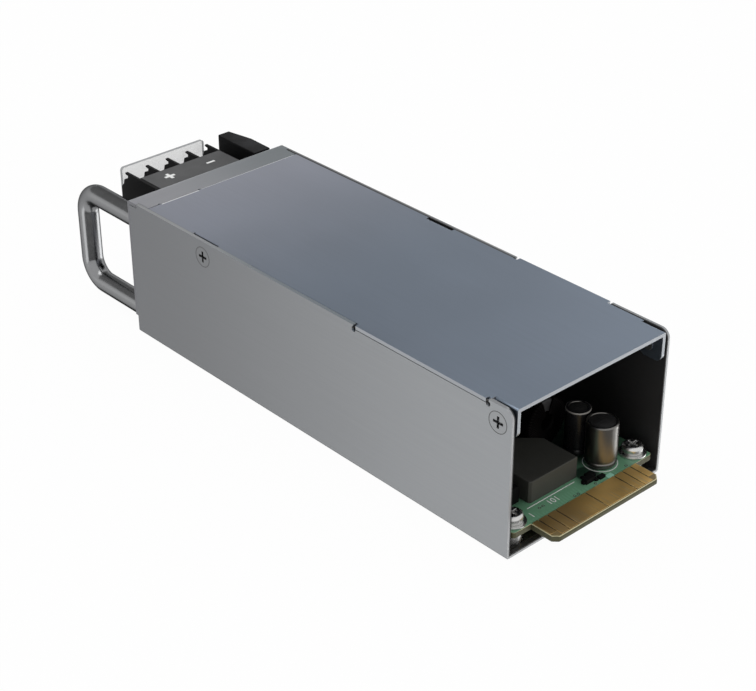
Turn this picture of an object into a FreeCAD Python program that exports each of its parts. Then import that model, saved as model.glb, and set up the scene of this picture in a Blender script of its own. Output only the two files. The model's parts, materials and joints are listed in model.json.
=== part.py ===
"""Hot swap power supply for a server: a folded steel case with a handle, input terminals and a release lever
at one end (-Y) and a card edge at the other (+Y). Millimetres, +Z up, origin at the centre of the underside."""
import FreeCAD, Part
import math
import os

from FreeCAD import Vector

X = Vector(1, 0, 0)
Y = Vector(0, 1, 0)
Z = Vector(0, 0, 1)

# Case, folded from sheet steel
CASE_WIDTH = 53.2
CASE_LENGTH = 143.0
CASE_HEIGHT = 40.0
SHEET = 1.0
SEAM = 0.15            # gap between flush sheets
TAB_GAP = 0.7          # gap between a bent tab and the wall outside it
BEND_RADIUS = 0.5      # outside radius where a tab leaves the cover
FLOOR_FOLD = 0.7       # outside radius of the two folds along the underside
WALL_CORNER = 2.5      # rounded top corners of the walls at the card-edge end
RELIEF = 0.7           # radius of the small relief notches at the ends of the laps

# Top cover: stretches that lap over a wall, measured back from the card-edge end (start, length)
RIGHT_LAP = (7.5, 44.5)
LEFT_LAP = (18.0, 31.5)
TAB_DEPTH = 8.0
TAB_CORNER = 2.0
END_TAB_LENGTH = 7.0
RIGHT_TAB_LENGTH = 10.2
LEFT_TAB_LENGTH = 9.2

# Front panel and its top strip
STRIP_DEPTH = 8.0
STRIP_LAP = 3.9        # part of the strip that lies over the walls
STRIP_RELIEF = (8.4, 21.8, 0.4)     # two round reliefs in the strip's rear edge: x, x, radius
PANEL_FOOT = 3.0
PANEL_CHAMFER = 2.0
PANEL_TONGUE_INSET = 6.6        # from the case's sides
PANEL_FLANGE = 4.6
VENT_RADIUS = 1.4
VENT_PITCH = 3.7
VENT_ROWS = 4
VENT_COLUMNS = 8
VENT_LOW = 6.6

# Machine screws: thread radius, head radius, head height
THREAD_RADIUS = 1.5
HOLE_CLEARANCE = 0.2
PAN_HEAD_RADIUS = 2.7
PAN_HEAD_HEIGHT = 2.2
FLAT_HEAD_RADIUS = 2.8
FLAT_HEAD_HEIGHT = 1.3
FLAT_HEAD_RIM = 0.2
RECESS_REACH = 1.5
RECESS_WIDTH = 0.6
RECESS_DEPTH = 0.9
SIDE_SCREW_LENGTH = 3.0
SIDE_SCREW_DROP = 4.6   # from the top of the case
END_SCREW_INSET = 4.3   # from the card-edge end
RIGHT_SCREW_INSET = 110.4
LEFT_SCREW_INSET = 76.1

# Handle, a bent rod
HANDLE_RADIUS = 3.0
HANDLE_INSET = 5.2      # from the case's side
HANDLE_LOW = 4.5
HANDLE_DROP = 8.2       # upper leg below the case's top
HANDLE_REACH = 27.7     # from the panel to the middle of the upright
HANDLE_BEND = 6.5
HANDLE_SCREW_LENGTH = 9.0

# Input terminal block and its guard
POLES = 4
POLE_PITCH = 7.0
FIN = 1.0
BLOCK_INSET = 10.5      # from the case's left side
BLOCK_DROP = 3.4        # below the case's top
BLOCK_HEIGHT = 16.0
BLOCK_DEPTH = 14.8
FIN_REACH = 5.8         # fin tips beyond the block's face
FIN_STEPS = ((0.0, 0.5), (1.2, 0.7), (1.1, 1.4), (-0.7, 2.3), (-1.1, 3.8))     # back from the tip, down from the top
FIN_NOSE = 8.0          # lower part of a fin beyond the block's face
TERMINAL_SCREW_DROP = 8.2
TERMINAL_PLATE = (5.6, 9.0, 0.8)    # width, height, thickness
TAIL_WIDTH = 3.0
TAIL_REACH = 3.4        # tails behind the panel
TAIL_PLAY = 1.0
FIXING_LENGTH = 5.0
FIXING_INSET = 3.5
FIXING_DROP = 4.4       # from the block's top
BINDING_HEAD_RADIUS = 2.5
BINDING_HEAD_HEIGHT = 1.7
GUARD = 1.0             # thickness of the clear guard
GUARD_GAP = 0.7         # from the fins' noses to the guard
GUARD_HINGE_DROP = 12.4
GUARD_HINGE_INSET = 1.8     # from the block's face to the hinge
GUARD_PIN_RADIUS = 1.2
GUARD_ARM = 0.8
GUARD_ARM_GAP = 0.2
GUARD_FOOT = 2.2        # guard below its hinge
GUARD_EAR = 2.6         # radius of the guard's ears
PIVOT_FIT = 0.05        # radial running fit of pins

# Release lever and its hinge on the left wall
LEVER_TIP_WIDTH = 4.3
LEVER_ROOT_WIDTH = 5.7
LEVER_INSET = 7.4       # face towards the terminals, from the case's left side
LEVER_DROP = 1.4        # below the case's top
LEVER_HEIGHT = 16.0
LEVER_REACH = 19.8      # tip beyond the panel
LEVER_STANDOFF = 2.6    # thumb piece to the panel
LEVER_BEVEL = 1.0
LEVER_BULGE = 1.6       # outer side beyond the tip's
ARM_THICKNESS = 2.0
ARM_RISE = 1.0          # above the thumb piece's underside
ARM_HEIGHT = 7.0
ARM_WALL_GAP = 0.6
LEVER_SLOT_PLAY = 0.5
PIVOT_INSET = 45.0      # pivot behind the panel
PIVOT_WALL_GAP = 3.4    # pivot axis from the wall's inner face
PIN_RADIUS = 1.0
KNUCKLE_RADIUS = 2.4
HOOK_START = 7.0        # catch face behind the panel
HOOK_LENGTH = 5.5
HOOK_PROUD = 1.0        # beyond the case's side
HOOK_PLAY = 0.6
LEVER_SWING = 1.6       # degrees
EAR = 1.0
EAR_DEPTH = 6.2
EAR_LENGTH = 8.0
EAR_GAP = 0.3
BRACKET_BACK = 0.8      # thickness of the bracket's back on the wall
BRACKET_BACK_LENGTH = 5.6
SPRING_ROOM = 3.4       # height of the spring above the lever's knuckle
SPRING_WIRE = 0.3
SPRING_COILS = 3.0
SPRING_LEG = 4.0
RIVET_RADIUS = 1.0
RIVET_HEAD_RADIUS = 1.7
RIVET_HEAD = 0.7

# Fan
FAN_DEPTH = 20.0
FAN_SIDE_GAP = 1.6      # to the right wall, past the cover's tabs
FAN_TOP_GAP = 1.0       # to the cover
FAN_INSET = 6.0         # from the panel's inner face
FAN_LIFT = 1.0          # above the floor
FAN_RIM = 0.8           # thinnest wall round the bore
FAN_TIP_GAP = 0.6
FAN_HOLE_INSET = 3.8    # from the frame's sides
FAN_HUB = 9.0
FAN_CUP_WALL = 1.2
FAN_BLADES = 7
FAN_BLADE = 1.0
FAN_BLADE_ANGLE = 38.0
FAN_ROTOR_DEPTH = 15.0
FAN_STRUT = 2.0
STATOR_GAP = 0.8
ROTOR_INSET = 1.0       # cup behind the frame's front
SHAFT_INSET = 0.6       # shaft's end before the frame's back plate
SHAFT_RADIUS = 1.0
BEARING_RADIUS = 2.4
BEARING_LENGTH = 8.0
BOSS_WALL = 1.0
BRACKET_LIP = 1.2       # smaller than the fan's bore, all round
BRACKET_MARGIN = 1.0    # narrower than the fan, each side
BRACKET_FOOT = 6.4
FAN_SCREW_LENGTH = 7.0
CONNECTOR = (3.4, 4.2, 3.2)     # width, depth, height
CONNECTOR_INSET = 0.6           # from the board's front edge
LEAD_RADIUS = 0.9
LEAD_BEND = 1.7
LEAD_CHANNEL = 1.8      # beside the fan
LEAD_START = 4.5        # from the fan's back

# Input wiring
LINK_WIDTH = 2.4
WIRE_RADIUS = 1.2
WIRE_BEND = 3.0
WIRE_CHANNEL = 4.8      # beside the fan
WIRE_HEIGHTS = (15.6, 10.6)
WIRE_LANDINGS = (17.5, 14.0)    # behind the board's front edge

# Main board
BOARD = 1.6
BOARD_TOP = 6.0
BOARD_SIDE_GAP = 1.4    # to each wall
BOARD_START = 36.0      # behind the panel's outer face
BOARD_END_INSET = 0.4   # shoulders behind the case's end
TONGUE_INSETS = (6.0, 5.8)      # from the board's left and right sides
TONGUE_REACH = 7.6      # beyond the case's end
TONGUE_CHAMFER = 1.6
CONTACT = 0.1
CONTACT_LENGTH = 7.4
CONTACT_GAP = 0.3
CONTACT_INSET = 0.6     # from the tongue's tip
CONTACT_MARGIN = 0.25   # tongue outside the outer contacts
CONTACT_WIDTHS = (1.9, 2.6, 2.6, 9.9, 9.9, 2.6, 2.6, 1.9)     # in proportion
BOARD_SCREW_EDGE = 3.2  # from the board's sides
BOARD_SCREW_INSETS = (4.0, 55.5, 98.2)     # from the card-edge end
WASHER_RADIUS = 3.5
WASHER = 0.6
STANDOFF_RADIUS = 2.6
STANDOFF_FOOT = 2.1
SHEET_FILM = 0.3
FILM_MARGIN = 0.6

# Parts on the board
CAN_RADIUS = 4.0
CAN_HEIGHT = 12.0
CAN_INSET = 8.8         # from the left screws
CAN_Y = 64.9
TALL_CAN_RADIUS = 3.15
TALL_CAN_HEIGHT = 12.5
TALL_CAN_SHIFT = 0.4
CAN_GAP = 0.35
CAN_GROOVE = 0.35
INDUCTOR_GAPS = (5.1, 1.1)      # to the silver can and to the small block
INDUCTOR_Y = (49.7, 65.5)
INDUCTOR_HEIGHT = 6.0
INDUCTOR_CHAMFER = 5.0
HEATSINK = 2.0
HEATSINK_FINS = 4
HEATSINK_FIN = 1.2
HEATSINK_FIN_REACH = 4.4
HEATSINK_DROP = 6.0     # below the case's top
SINK_INSET = 6.6        # inner faces from the board's sides
TRANSISTOR = (10.0, 15.0, 4.4)      # width, height, thickness
TRANSISTOR_LIFT = 5.0
FILTER_CAN_HEIGHT = 16.0
FILTER_CAN_GAP = 0.8
FILTER_ROW_GAP = 1.2
FILTER_CAN_BACK = 47.8      # back of the rear row
SMALL_BLOCK_WIDTH = 2.8
SMALL_BLOCK_INSET = 4.0     # from the right screws
SMALL_BLOCK_Y = (60.4, 63.2)
SMALL_BLOCK_HEIGHT = 4.6
CHIP_X = (6.8, 9.8)         # from the middle of the silver can
CHIP_Y = (67.6, 69.4)
CHIP_HEIGHT = 1.3
CHIP_LEAD = 0.5
FUSE_Y = -5.5
FUSE_RADIUS = 2.5
FUSE_LENGTH = 20.0
FUSE_LIFT = 1.0
CLIP_WALL = 0.4
CLIP_LENGTH = 4.0
FILM_CAPACITOR_WIDTH = 9.0
FILM_CAPACITOR_INSET = 4.0      # from the right screws
FILM_CAPACITOR_Y = (-33.5, -24.5)
FILM_CAPACITOR_HEIGHT = 15.0
CHOKE_PLACE = (-3.2, -21.4)
TORUS_CHOKE = (3.2, 8.0, 7.0)       # inner radius, outer radius, height of the input choke's core
CHOKE_WINDING_SPAN = 140.0
RING_SHIFT = 4.4            # from the middle of the silver can
RING_GAP_TO_CANS = 7.4      # middle of the ring to the nearest filter can
RING_Y = 48.2
RING_CHOKE = (2.6, 6.0, 5.0)        # the same sizes of the output choke's core
RING_GAP = 40.0                     # degrees left bare at the top
WINDING = 0.8
TRANSFORMER_Y = 1.0
TRANSFORMER_DEPTH = 22.0
TRANSFORMER_HEIGHT = 20.0
TRANSFORMER_GAPS = (6.4, 8.2)       # to the left screws' line and to the right heatsink
CORE_LEG = 5.0
CORE_DEPTH = 10.0
BOBBIN_WALL = 1.0
PRIMARY_SINK = (-20.0, 30.0)        # start, length
SECONDARY_SINK = (21.0, 17.0)
PRIMARY_TRANSISTORS = (-12.5, 0.5)  # middles of the bodies
SECONDARY_TRANSISTORS = (29.5,)
CONTROL_INSET = 5.8     # from the board's right side
CONTROL_Y = (24.0, 54.0)
CONTROL_HEIGHT = 22.0
HEADER = (2.4, 2.4)
CHIP_DEPTH = 1.2
CHIPS = ((30.0, 14.0, 8.0, 6.0), (42.0, 16.0, 6.0, 6.0), (50.0, 12.0, 4.0, 4.0))    # y, z, width, height

# Status light on the panel
LIGHT_RADIUS = 1.5
LIGHT_Z = 6.0
LIGHT_PROUD = 0.6
LIGHT_BODY = 3.0

HALF_WIDTH = CASE_WIDTH / 2
FRONT_Y = -CASE_LENGTH / 2
REAR_Y = CASE_LENGTH / 2
PANEL_BACK = FRONT_Y + SHEET
PANEL_TONGUE_HALF = HALF_WIDTH - PANEL_TONGUE_INSET
INNER_X = HALF_WIDTH - SHEET
STRIP_Y = FRONT_Y + STRIP_DEPTH
LID_BOTTOM = CASE_HEIGHT - SHEET
TAB_X = INNER_X - TAB_GAP
SIDE_SCREW_Z = CASE_HEIGHT - SIDE_SCREW_DROP
SIDE_SCREWS = (
    (1, REAR_Y - END_SCREW_INSET),
    (1, REAR_Y - RIGHT_SCREW_INSET),
    (-1, REAR_Y - END_SCREW_INSET),
    (-1, REAR_Y - LEFT_SCREW_INSET),
)
HANDLE_X = HALF_WIDTH - HANDLE_INSET
HANDLE_LEGS = (HANDLE_LOW, CASE_HEIGHT - HANDLE_DROP)
BLOCK_LEFT = -HALF_WIDTH + BLOCK_INSET
BLOCK_TOP = CASE_HEIGHT - BLOCK_DROP
BLOCK_RIGHT = BLOCK_LEFT + POLES * POLE_PITCH + FIN
BLOCK_FACE = FRONT_Y - BLOCK_DEPTH
BLOCK_BOTTOM = BLOCK_TOP - BLOCK_HEIGHT
TERMINAL_Z = BLOCK_TOP - TERMINAL_SCREW_DROP
POLE_X = [BLOCK_LEFT + FIN / 2 + POLE_PITCH * (index + 0.5) for index in range(POLES)]
GUARD_Y = BLOCK_FACE - FIN_NOSE - GUARD_GAP
HINGE_Y = BLOCK_FACE - GUARD_HINGE_INSET
HINGE_Z = BLOCK_TOP - GUARD_HINGE_DROP
PIVOT_X = -INNER_X + PIVOT_WALL_GAP
PIVOT_Y = FRONT_Y + PIVOT_INSET
ARM_X = -INNER_X + ARM_WALL_GAP
LEVER_NEAR_X = -HALF_WIDTH + LEVER_INSET
LEVER_TOP = CASE_HEIGHT - LEVER_DROP
ARM_LOW = LEVER_TOP - LEVER_HEIGHT + ARM_RISE
ARM_HIGH = ARM_LOW + ARM_HEIGHT
FAN_SIZE = LID_BOTTOM - FAN_TOP_GAP - SHEET - FAN_LIFT
FAN_BORE = FAN_SIZE / 2 - FAN_RIM
FAN_HOLE_OFFSET = FAN_SIZE / 2 - FAN_HOLE_INSET
FAN_X = INNER_X - FAN_SIDE_GAP - FAN_SIZE / 2
BRACKET_OPENING = FAN_BORE - BRACKET_LIP
FAN_FRONT = PANEL_BACK + FAN_INSET
FAN_BACK = FAN_FRONT + FAN_DEPTH
FAN_Z = SHEET + FAN_LIFT + FAN_SIZE / 2
FAN_LEFT = FAN_X - FAN_SIZE / 2
EAR_LOW = ARM_LOW - EAR_GAP - EAR
EAR_HIGH = ARM_HIGH + EAR_GAP + SPRING_ROOM
RIVET_Y = PIVOT_Y + EAR_LENGTH / 2 + BRACKET_BACK_LENGTH / 2 - EAR / 2
RIVET_HEIGHTS = (EAR_LOW + RIVET_HEAD_RADIUS + EAR, EAR_HIGH - RIVET_HEAD_RADIUS)
BOARD_BOTTOM = BOARD_TOP - BOARD
BOARD_FRONT = FRONT_Y + BOARD_START
BOARD_REAR = REAR_Y - BOARD_END_INSET
BOARD_HALF_WIDTH = INNER_X - BOARD_SIDE_GAP
BOARD_SCREW_X = BOARD_HALF_WIDTH - BOARD_SCREW_EDGE
TONGUE_LEFT = -BOARD_HALF_WIDTH + TONGUE_INSETS[0]
TONGUE_RIGHT = BOARD_HALF_WIDTH - TONGUE_INSETS[1]
BOARD_SCREWS = [(side * BOARD_SCREW_X, REAR_Y - inset) for inset in BOARD_SCREW_INSETS for side in (1, -1)]
FOOT_SCREWS = ((FAN_X - FAN_SIZE / 3, FAN_BACK + SHEET + BRACKET_FOOT / 2),
               (FAN_X + FAN_SIZE / 3, FAN_BACK + SHEET + BRACKET_FOOT / 2))
FLANGE_SCREWS = ((-PANEL_TONGUE_HALF * 0.7, PANEL_BACK + PANEL_FLANGE / 2),
                 (PANEL_TONGUE_HALF * 0.7, PANEL_BACK + PANEL_FLANGE / 2))
FLOOR_SCREW_LENGTH = 2.0
CAN_PLACE = (-BOARD_SCREW_X + CAN_INSET, CAN_Y)
TALL_CAN_PLACE = (CAN_PLACE[0] + TALL_CAN_SHIFT, CAN_Y - CAN_RADIUS - TALL_CAN_RADIUS - CAN_GAP)
SMALL_BLOCK_RIGHT = BOARD_SCREW_X - SMALL_BLOCK_INSET
SMALL_BLOCK_LEFT = SMALL_BLOCK_RIGHT - SMALL_BLOCK_WIDTH
INDUCTOR_X = (CAN_PLACE[0] + CAN_RADIUS + INDUCTOR_GAPS[0], SMALL_BLOCK_LEFT - INDUCTOR_GAPS[1])
HEATSINK_HEIGHT = CASE_HEIGHT - HEATSINK_DROP - BOARD_TOP
SINK_FACE = BOARD_HALF_WIDTH - SINK_INSET
SINKS = ((1, PRIMARY_SINK, PRIMARY_TRANSISTORS), (-1, SECONDARY_SINK, SECONDARY_TRANSISTORS))
CONTROL_X = BOARD_HALF_WIDTH - CONTROL_INSET
RING_PLACE = (CAN_PLACE[0] + RING_SHIFT, RING_Y)
FILTER_LEFT = RING_PLACE[0] + RING_GAP_TO_CANS
FILTER_RIGHT = CONTROL_X - CHIP_DEPTH - FILTER_CAN_GAP
FILTER_CAN_RADIUS = (FILTER_RIGHT - FILTER_LEFT - FILTER_CAN_GAP) / 4
FILTER_CAN_PLACES = [(x, FILTER_CAN_BACK - FILTER_CAN_RADIUS - row * (2 * FILTER_CAN_RADIUS + FILTER_ROW_GAP))
                     for row in range(2) for x in (FILTER_LEFT + FILTER_CAN_RADIUS, FILTER_RIGHT - FILTER_CAN_RADIUS)]
FUSE_PLACE = (-BOARD_SCREW_X, FUSE_Y)
FILM_CAPACITOR_RIGHT = BOARD_SCREW_X - FILM_CAPACITOR_INSET
TRANSFORMER_X = (-BOARD_SCREW_X + TRANSFORMER_GAPS[0], SINK_FACE - TRANSFORMER_GAPS[1])
TRANSFORMER_PLACE = (sum(TRANSFORMER_X) / 2, TRANSFORMER_Y)
TRANSFORMER = (TRANSFORMER_X[1] - TRANSFORMER_X[0], TRANSFORMER_DEPTH, TRANSFORMER_HEIGHT)


def block(x, y, z):
    """Box between pairs of coordinates."""
    return Part.makeBox(x[1] - x[0], y[1] - y[0], z[1] - z[0], Vector(x[0], y[0], z[0]))


def bar(start, direction, radius, length):
    """Round bar from a point along a direction."""
    return Part.makeCylinder(radius, length, start, direction)


def plate(points, direction):
    """Flat outline pushed along a direction."""
    wire = Part.makePolygon(list(points) + [points[0]])
    return Part.Face(wire).extrude(direction)


def joined(first, *others):
    """One solid out of pieces that meet."""
    return first.fuse(list(others)).removeSplitter()


def edges_along(shape, direction, keep):
    """Straight edges along a direction whose middle passes a test."""
    found = []
    for edge in shape.Edges:
        if len(edge.Vertexes) != 2:
            continue
        run = edge.Vertexes[1].Point.sub(edge.Vertexes[0].Point)
        if run.Length < 1e-6 or run.cross(direction).Length > 1e-6 * run.Length:
            continue
        if keep(edge.CenterOfMass):
            found.append(edge)
    return found


def near(value, target):
    """Whether two lengths agree."""
    return abs(value - target) < 1e-4


def cross_recess(face, inward):
    """Cross-shaped driver recess cut from a head's face."""
    sideways = Z if abs(inward.z) < 0.5 else X
    other = inward.cross(sideways)
    arms = []
    for along, across in ((sideways, other), (other, sideways)):
        corners = [along * (a * RECESS_REACH) + across * (b * RECESS_WIDTH / 2) + face
                   for a, b in ((-1, -1), (1, -1), (1, 1), (-1, 1))]
        arms.append(plate(corners, inward * RECESS_DEPTH))
    return joined(*arms)


def pan_screw(seat, inward, length):
    """Pan-head screw whose head rests on a seat; the shank runs inward."""
    head = bar(seat, inward * -1, PAN_HEAD_RADIUS, PAN_HEAD_HEIGHT)
    rim = [edge for edge in head.Edges if len(edge.Vertexes) == 1
           and near(edge.CenterOfMass.sub(seat).Length, PAN_HEAD_HEIGHT)]
    head = head.makeFillet(PAN_HEAD_HEIGHT * 0.45, rim)
    shank = bar(seat, inward, THREAD_RADIUS, length)
    return joined(head, shank).cut(cross_recess(seat - inward * PAN_HEAD_HEIGHT, inward))


def flat_screw(face, inward, length):
    """Countersunk screw flush with a face; the length counts its head."""
    rim = bar(face, inward, FLAT_HEAD_RADIUS, FLAT_HEAD_RIM)
    cone = Part.makeCone(FLAT_HEAD_RADIUS, THREAD_RADIUS, FLAT_HEAD_HEIGHT, face + inward * FLAT_HEAD_RIM, inward)
    shank = bar(face, inward, THREAD_RADIUS, length)
    return joined(rim, cone, shank).cut(cross_recess(face, inward))


def countersink(face, inward):
    """What a countersunk screw takes out of the sheets it goes through."""
    rim = bar(face, inward, FLAT_HEAD_RADIUS, FLAT_HEAD_RIM)
    cone = Part.makeCone(FLAT_HEAD_RADIUS, THREAD_RADIUS, FLAT_HEAD_HEIGHT, face + inward * FLAT_HEAD_RIM, inward)
    shank = bar(face, inward, THREAD_RADIUS, SHEET * 6)
    return joined(rim, cone, shank)


def tube(points, radius, bend):
    """Round lead along straight runs joined by tangent arcs."""
    edges = []
    start = points[0]
    for before, corner, after in zip(points, points[1:], points[2:]):
        back = before.sub(corner).normalize()
        ahead = after.sub(corner).normalize()
        half = back.getAngle(ahead) / 2
        cut = bend / math.tan(half)
        enter = corner + back * cut
        leave = corner + ahead * cut
        centre = corner + (back + ahead).normalize() * (bend / math.sin(half))
        middle = centre + (corner - centre).normalize() * bend
        edges.append(Part.LineSegment(start, enter).toShape())
        edges.append(Part.Arc(enter, middle, leave).toShape())
        start = leave
    edges.append(Part.LineSegment(start, points[-1]).toShape())
    path = Part.Wire(edges)
    first = points[1].sub(points[0])
    ring = Part.Wire([Part.makeCircle(radius, points[0], first)])
    lead = path.makePipeShell([ring], True, False)
    print("lead", round(lead.Volume / (math.pi * radius * radius * path.Length), 4), "of its section times length")
    return lead


def lap_range(lap):
    """Low and high Y of a lapped stretch."""
    return (REAR_Y - lap[0] - lap[1], REAR_Y - lap[0])


def side_countersinks():
    """Countersinks of the four side screws."""
    return [countersink(Vector(side * HALF_WIDTH, y, SIDE_SCREW_Z), X * -side) for side, y in SIDE_SCREWS]


def tab_ranges():
    """Each bent tab of the cover: side, low Y, high Y."""
    ranges = []
    for side, y in SIDE_SCREWS:
        if near(y, REAR_Y - END_SCREW_INSET):
            middle, length = REAR_Y - END_TAB_LENGTH / 2, END_TAB_LENGTH
        else:
            middle, length = y, RIGHT_TAB_LENGTH if side > 0 else LEFT_TAB_LENGTH
        ranges.append((side, middle - length / 2, middle + length / 2))
    return ranges


def chassis():
    """Tray: floor and two side walls, lowered where the cover and the panel's strip lap over them."""
    tray = block((-HALF_WIDTH, HALF_WIDTH), (PANEL_BACK, REAR_Y), (0, CASE_HEIGHT))
    tray = tray.makeFillet(FLOOR_FOLD, edges_along(tray, Y, lambda p: near(p.z, 0)))
    corners = edges_along(tray, X, lambda p: near(p.y, REAR_Y) and near(p.z, CASE_HEIGHT))
    tray = tray.makeFillet(WALL_CORNER, corners)
    tray = tray.cut(block((-INNER_X, INNER_X), (FRONT_Y, REAR_Y + SHEET), (SHEET, CASE_HEIGHT + SHEET)))
    step = LID_BOTTOM - SEAM
    cuts = [block((-HALF_WIDTH, HALF_WIDTH), (FRONT_Y, FRONT_Y + STRIP_LAP + SEAM), (step, CASE_HEIGHT + SHEET))]
    for side, lap in ((1, RIGHT_LAP), (-1, LEFT_LAP)):
        low, high = lap_range(lap)
        edge = sorted((side * INNER_X, side * (HALF_WIDTH + SHEET)))
        cuts.append(block(edge, (low - SEAM, high + SEAM), (step, CASE_HEIGHT + SHEET)))
        for y in (low, high):
            cuts.append(bar(Vector(edge[0], y, step), X, RELIEF, edge[1] - edge[0]))
    cuts += side_countersinks()
    cuts.append(hook_window())
    cuts += rivet_holes()
    for x, y in FOOT_SCREWS + FLANGE_SCREWS:
        cuts.append(countersink(Vector(x, y, 0), Z))
    for x, y in BOARD_SCREWS:
        cuts.append(bar(Vector(x, y, -SHEET), Z, STANDOFF_FOOT, 3 * SHEET))
    return tray.cut(cuts)


def rivet_holes():
    """Holes of the latch bracket's rivets."""
    return [bar(Vector(-HALF_WIDTH - SHEET, RIVET_Y, z), X, RIVET_RADIUS, 3 * SHEET) for z in RIVET_HEIGHTS]


def hook_window():
    """Window in the left wall that the lever's hook comes through."""
    hook = (FRONT_Y + HOOK_START, FRONT_Y + HOOK_START + HOOK_LENGTH)
    return block((-HALF_WIDTH - SHEET, -INNER_X + SHEET / 2), (hook[0] - HOOK_PLAY, hook[1] + HOOK_PLAY),
                 (ARM_LOW - HOOK_PLAY, ARM_HIGH + HOOK_PLAY))


def cover_tab(side, low, high):
    """Stretch of the cover that bends down inside a wall, with a rounded bend and rounded lower corners."""
    bottom = CASE_HEIGHT - TAB_DEPTH
    tab = block(sorted((side * (TAB_X - SHEET), side * TAB_X)), (low, high), (bottom, CASE_HEIGHT))
    tab = tab.makeFillet(TAB_CORNER, edges_along(tab, X, lambda p: near(p.z, bottom)))
    flat = block(sorted((0, side * TAB_X)), (low, high), (LID_BOTTOM, CASE_HEIGHT))
    bent = joined(tab, flat)
    return bent.makeFillet(BEND_RADIUS, edges_along(bent, Y, lambda p: near(p.z, CASE_HEIGHT)
                                                    and near(p.x, side * TAB_X)))


def top_cover():
    """Lid between the walls, with two laps over them and four tabs that take the side screws."""
    edge = INNER_X - SEAM
    lid = block((-edge, edge), (STRIP_Y + SEAM, REAR_Y), (LID_BOTTOM, CASE_HEIGHT))
    pieces = []
    for side, lap in ((1, RIGHT_LAP), (-1, LEFT_LAP)):
        low, high = lap_range(lap)
        pieces.append(block(sorted((side * edge, side * HALF_WIDTH)), (low + RELIEF, high - RELIEF),
                            (LID_BOTTOM, CASE_HEIGHT)))
    trims = []
    for side, low, high in tab_ranges():
        trims.append(block(sorted((side * (TAB_X - BEND_RADIUS), side * HALF_WIDTH)), (low - SEAM, high + SEAM),
                           (LID_BOTTOM - SHEET, CASE_HEIGHT + SHEET)))
        pieces.append(cover_tab(side, low, high))
    return joined(lid.cut(trims), *pieces).cut(side_countersinks())


def side_screws():
    """Four countersunk screws through the walls into the cover's tabs."""
    return Part.makeCompound([flat_screw(Vector(side * HALF_WIDTH, y, SIDE_SCREW_Z), X * -side, SIDE_SCREW_LENGTH)
                              for side, y in SIDE_SCREWS])


def lever_slot():
    """Opening in the panel for the lever's arm, as wide as its swing needs."""
    swing = math.tan(math.radians(LEVER_SWING)) * (PIVOT_Y - FRONT_Y)
    return block((ARM_X - LEVER_SLOT_PLAY, ARM_X + ARM_THICKNESS + swing + LEVER_SLOT_PLAY),
                 (FRONT_Y - SHEET, PANEL_BACK + SHEET), (ARM_LOW - LEVER_SLOT_PLAY, ARM_HIGH + LEVER_SLOT_PLAY))


def vent_places():
    """Middles of the panel's air holes, in staggered rows below the terminal block."""
    middle = (BLOCK_LEFT + BLOCK_RIGHT) / 2
    for row in range(VENT_ROWS):
        shift = (row % 2 - 0.5) * VENT_PITCH / 2
        for column in range(VENT_COLUMNS):
            yield (middle + shift + (column - (VENT_COLUMNS - 1) / 2) * VENT_PITCH,
                   VENT_LOW + row * VENT_PITCH * math.sqrt(3) / 2)


def front_panel():
    """End plate with a strip folded over the top, a tongue folded on to the floor, and its openings."""
    face = block((-HALF_WIDTH, HALF_WIDTH), (FRONT_Y, PANEL_BACK), (PANEL_FOOT, CASE_HEIGHT))
    feet = edges_along(face, Y, lambda p: near(p.z, PANEL_FOOT))
    face = face.makeChamfer(PANEL_CHAMFER, feet)
    strip_edge = INNER_X - SEAM
    lap = block((-HALF_WIDTH, HALF_WIDTH), (FRONT_Y, FRONT_Y + STRIP_LAP), (LID_BOTTOM, CASE_HEIGHT))
    strip = block((-strip_edge, strip_edge), (FRONT_Y, STRIP_Y), (LID_BOTTOM, CASE_HEIGHT))
    tongue = block((-PANEL_TONGUE_HALF, PANEL_TONGUE_HALF), (FRONT_Y, PANEL_BACK), (SHEET, PANEL_FOOT + SHEET))
    flange = block((-PANEL_TONGUE_HALF, PANEL_TONGUE_HALF), (FRONT_Y, PANEL_BACK + PANEL_FLANGE),
                   (SHEET, 2 * SHEET))
    panel = joined(face, lap, strip, tongue, flange)
    folds = edges_along(panel, X, lambda p: near(p.y, FRONT_Y) and near(p.z, CASE_HEIGHT))
    panel = panel.makeFillet(SHEET * 0.9, folds)
    cuts = [lever_slot()]
    cuts += [bar(Vector(x, STRIP_Y, LID_BOTTOM - SHEET), Z, STRIP_RELIEF[2], 3 * SHEET) for x in STRIP_RELIEF[:2]]
    cuts += [bar(Vector(x, FRONT_Y - SHEET, z), Y, VENT_RADIUS, 3 * SHEET) for x, z in vent_places()]
    cuts += [bar(Vector(HANDLE_X, FRONT_Y - SHEET, z), Y, THREAD_RADIUS + HOLE_CLEARANCE, 3 * SHEET)
             for z in HANDLE_LEGS]
    cuts += [block((x - TAIL_WIDTH / 2 - TAIL_PLAY, x + TAIL_WIDTH / 2 + TAIL_PLAY),
                   (FRONT_Y - SHEET, PANEL_BACK + SHEET),
                   (tail_z() - TAIL_PLAY, tail_z() + TERMINAL_PLATE[2] + TAIL_PLAY)) for x in POLE_X]
    cuts += [bar(place - Y * (2 * SHEET), Y, THREAD_RADIUS + HOLE_CLEARANCE, 3 * SHEET)
             for place in fixing_places()]
    cuts.append(bar(Vector(light_x(), FRONT_Y - SHEET, LIGHT_Z), Y, LIGHT_RADIUS, 3 * SHEET))
    cuts += [countersink(Vector(x, y, 0), Z) for x, y in FLANGE_SCREWS]
    return panel.cut(cuts)


def light_x():
    """The status light sits below the lever."""
    return LEVER_NEAR_X - LEVER_TIP_WIDTH / 2


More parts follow.
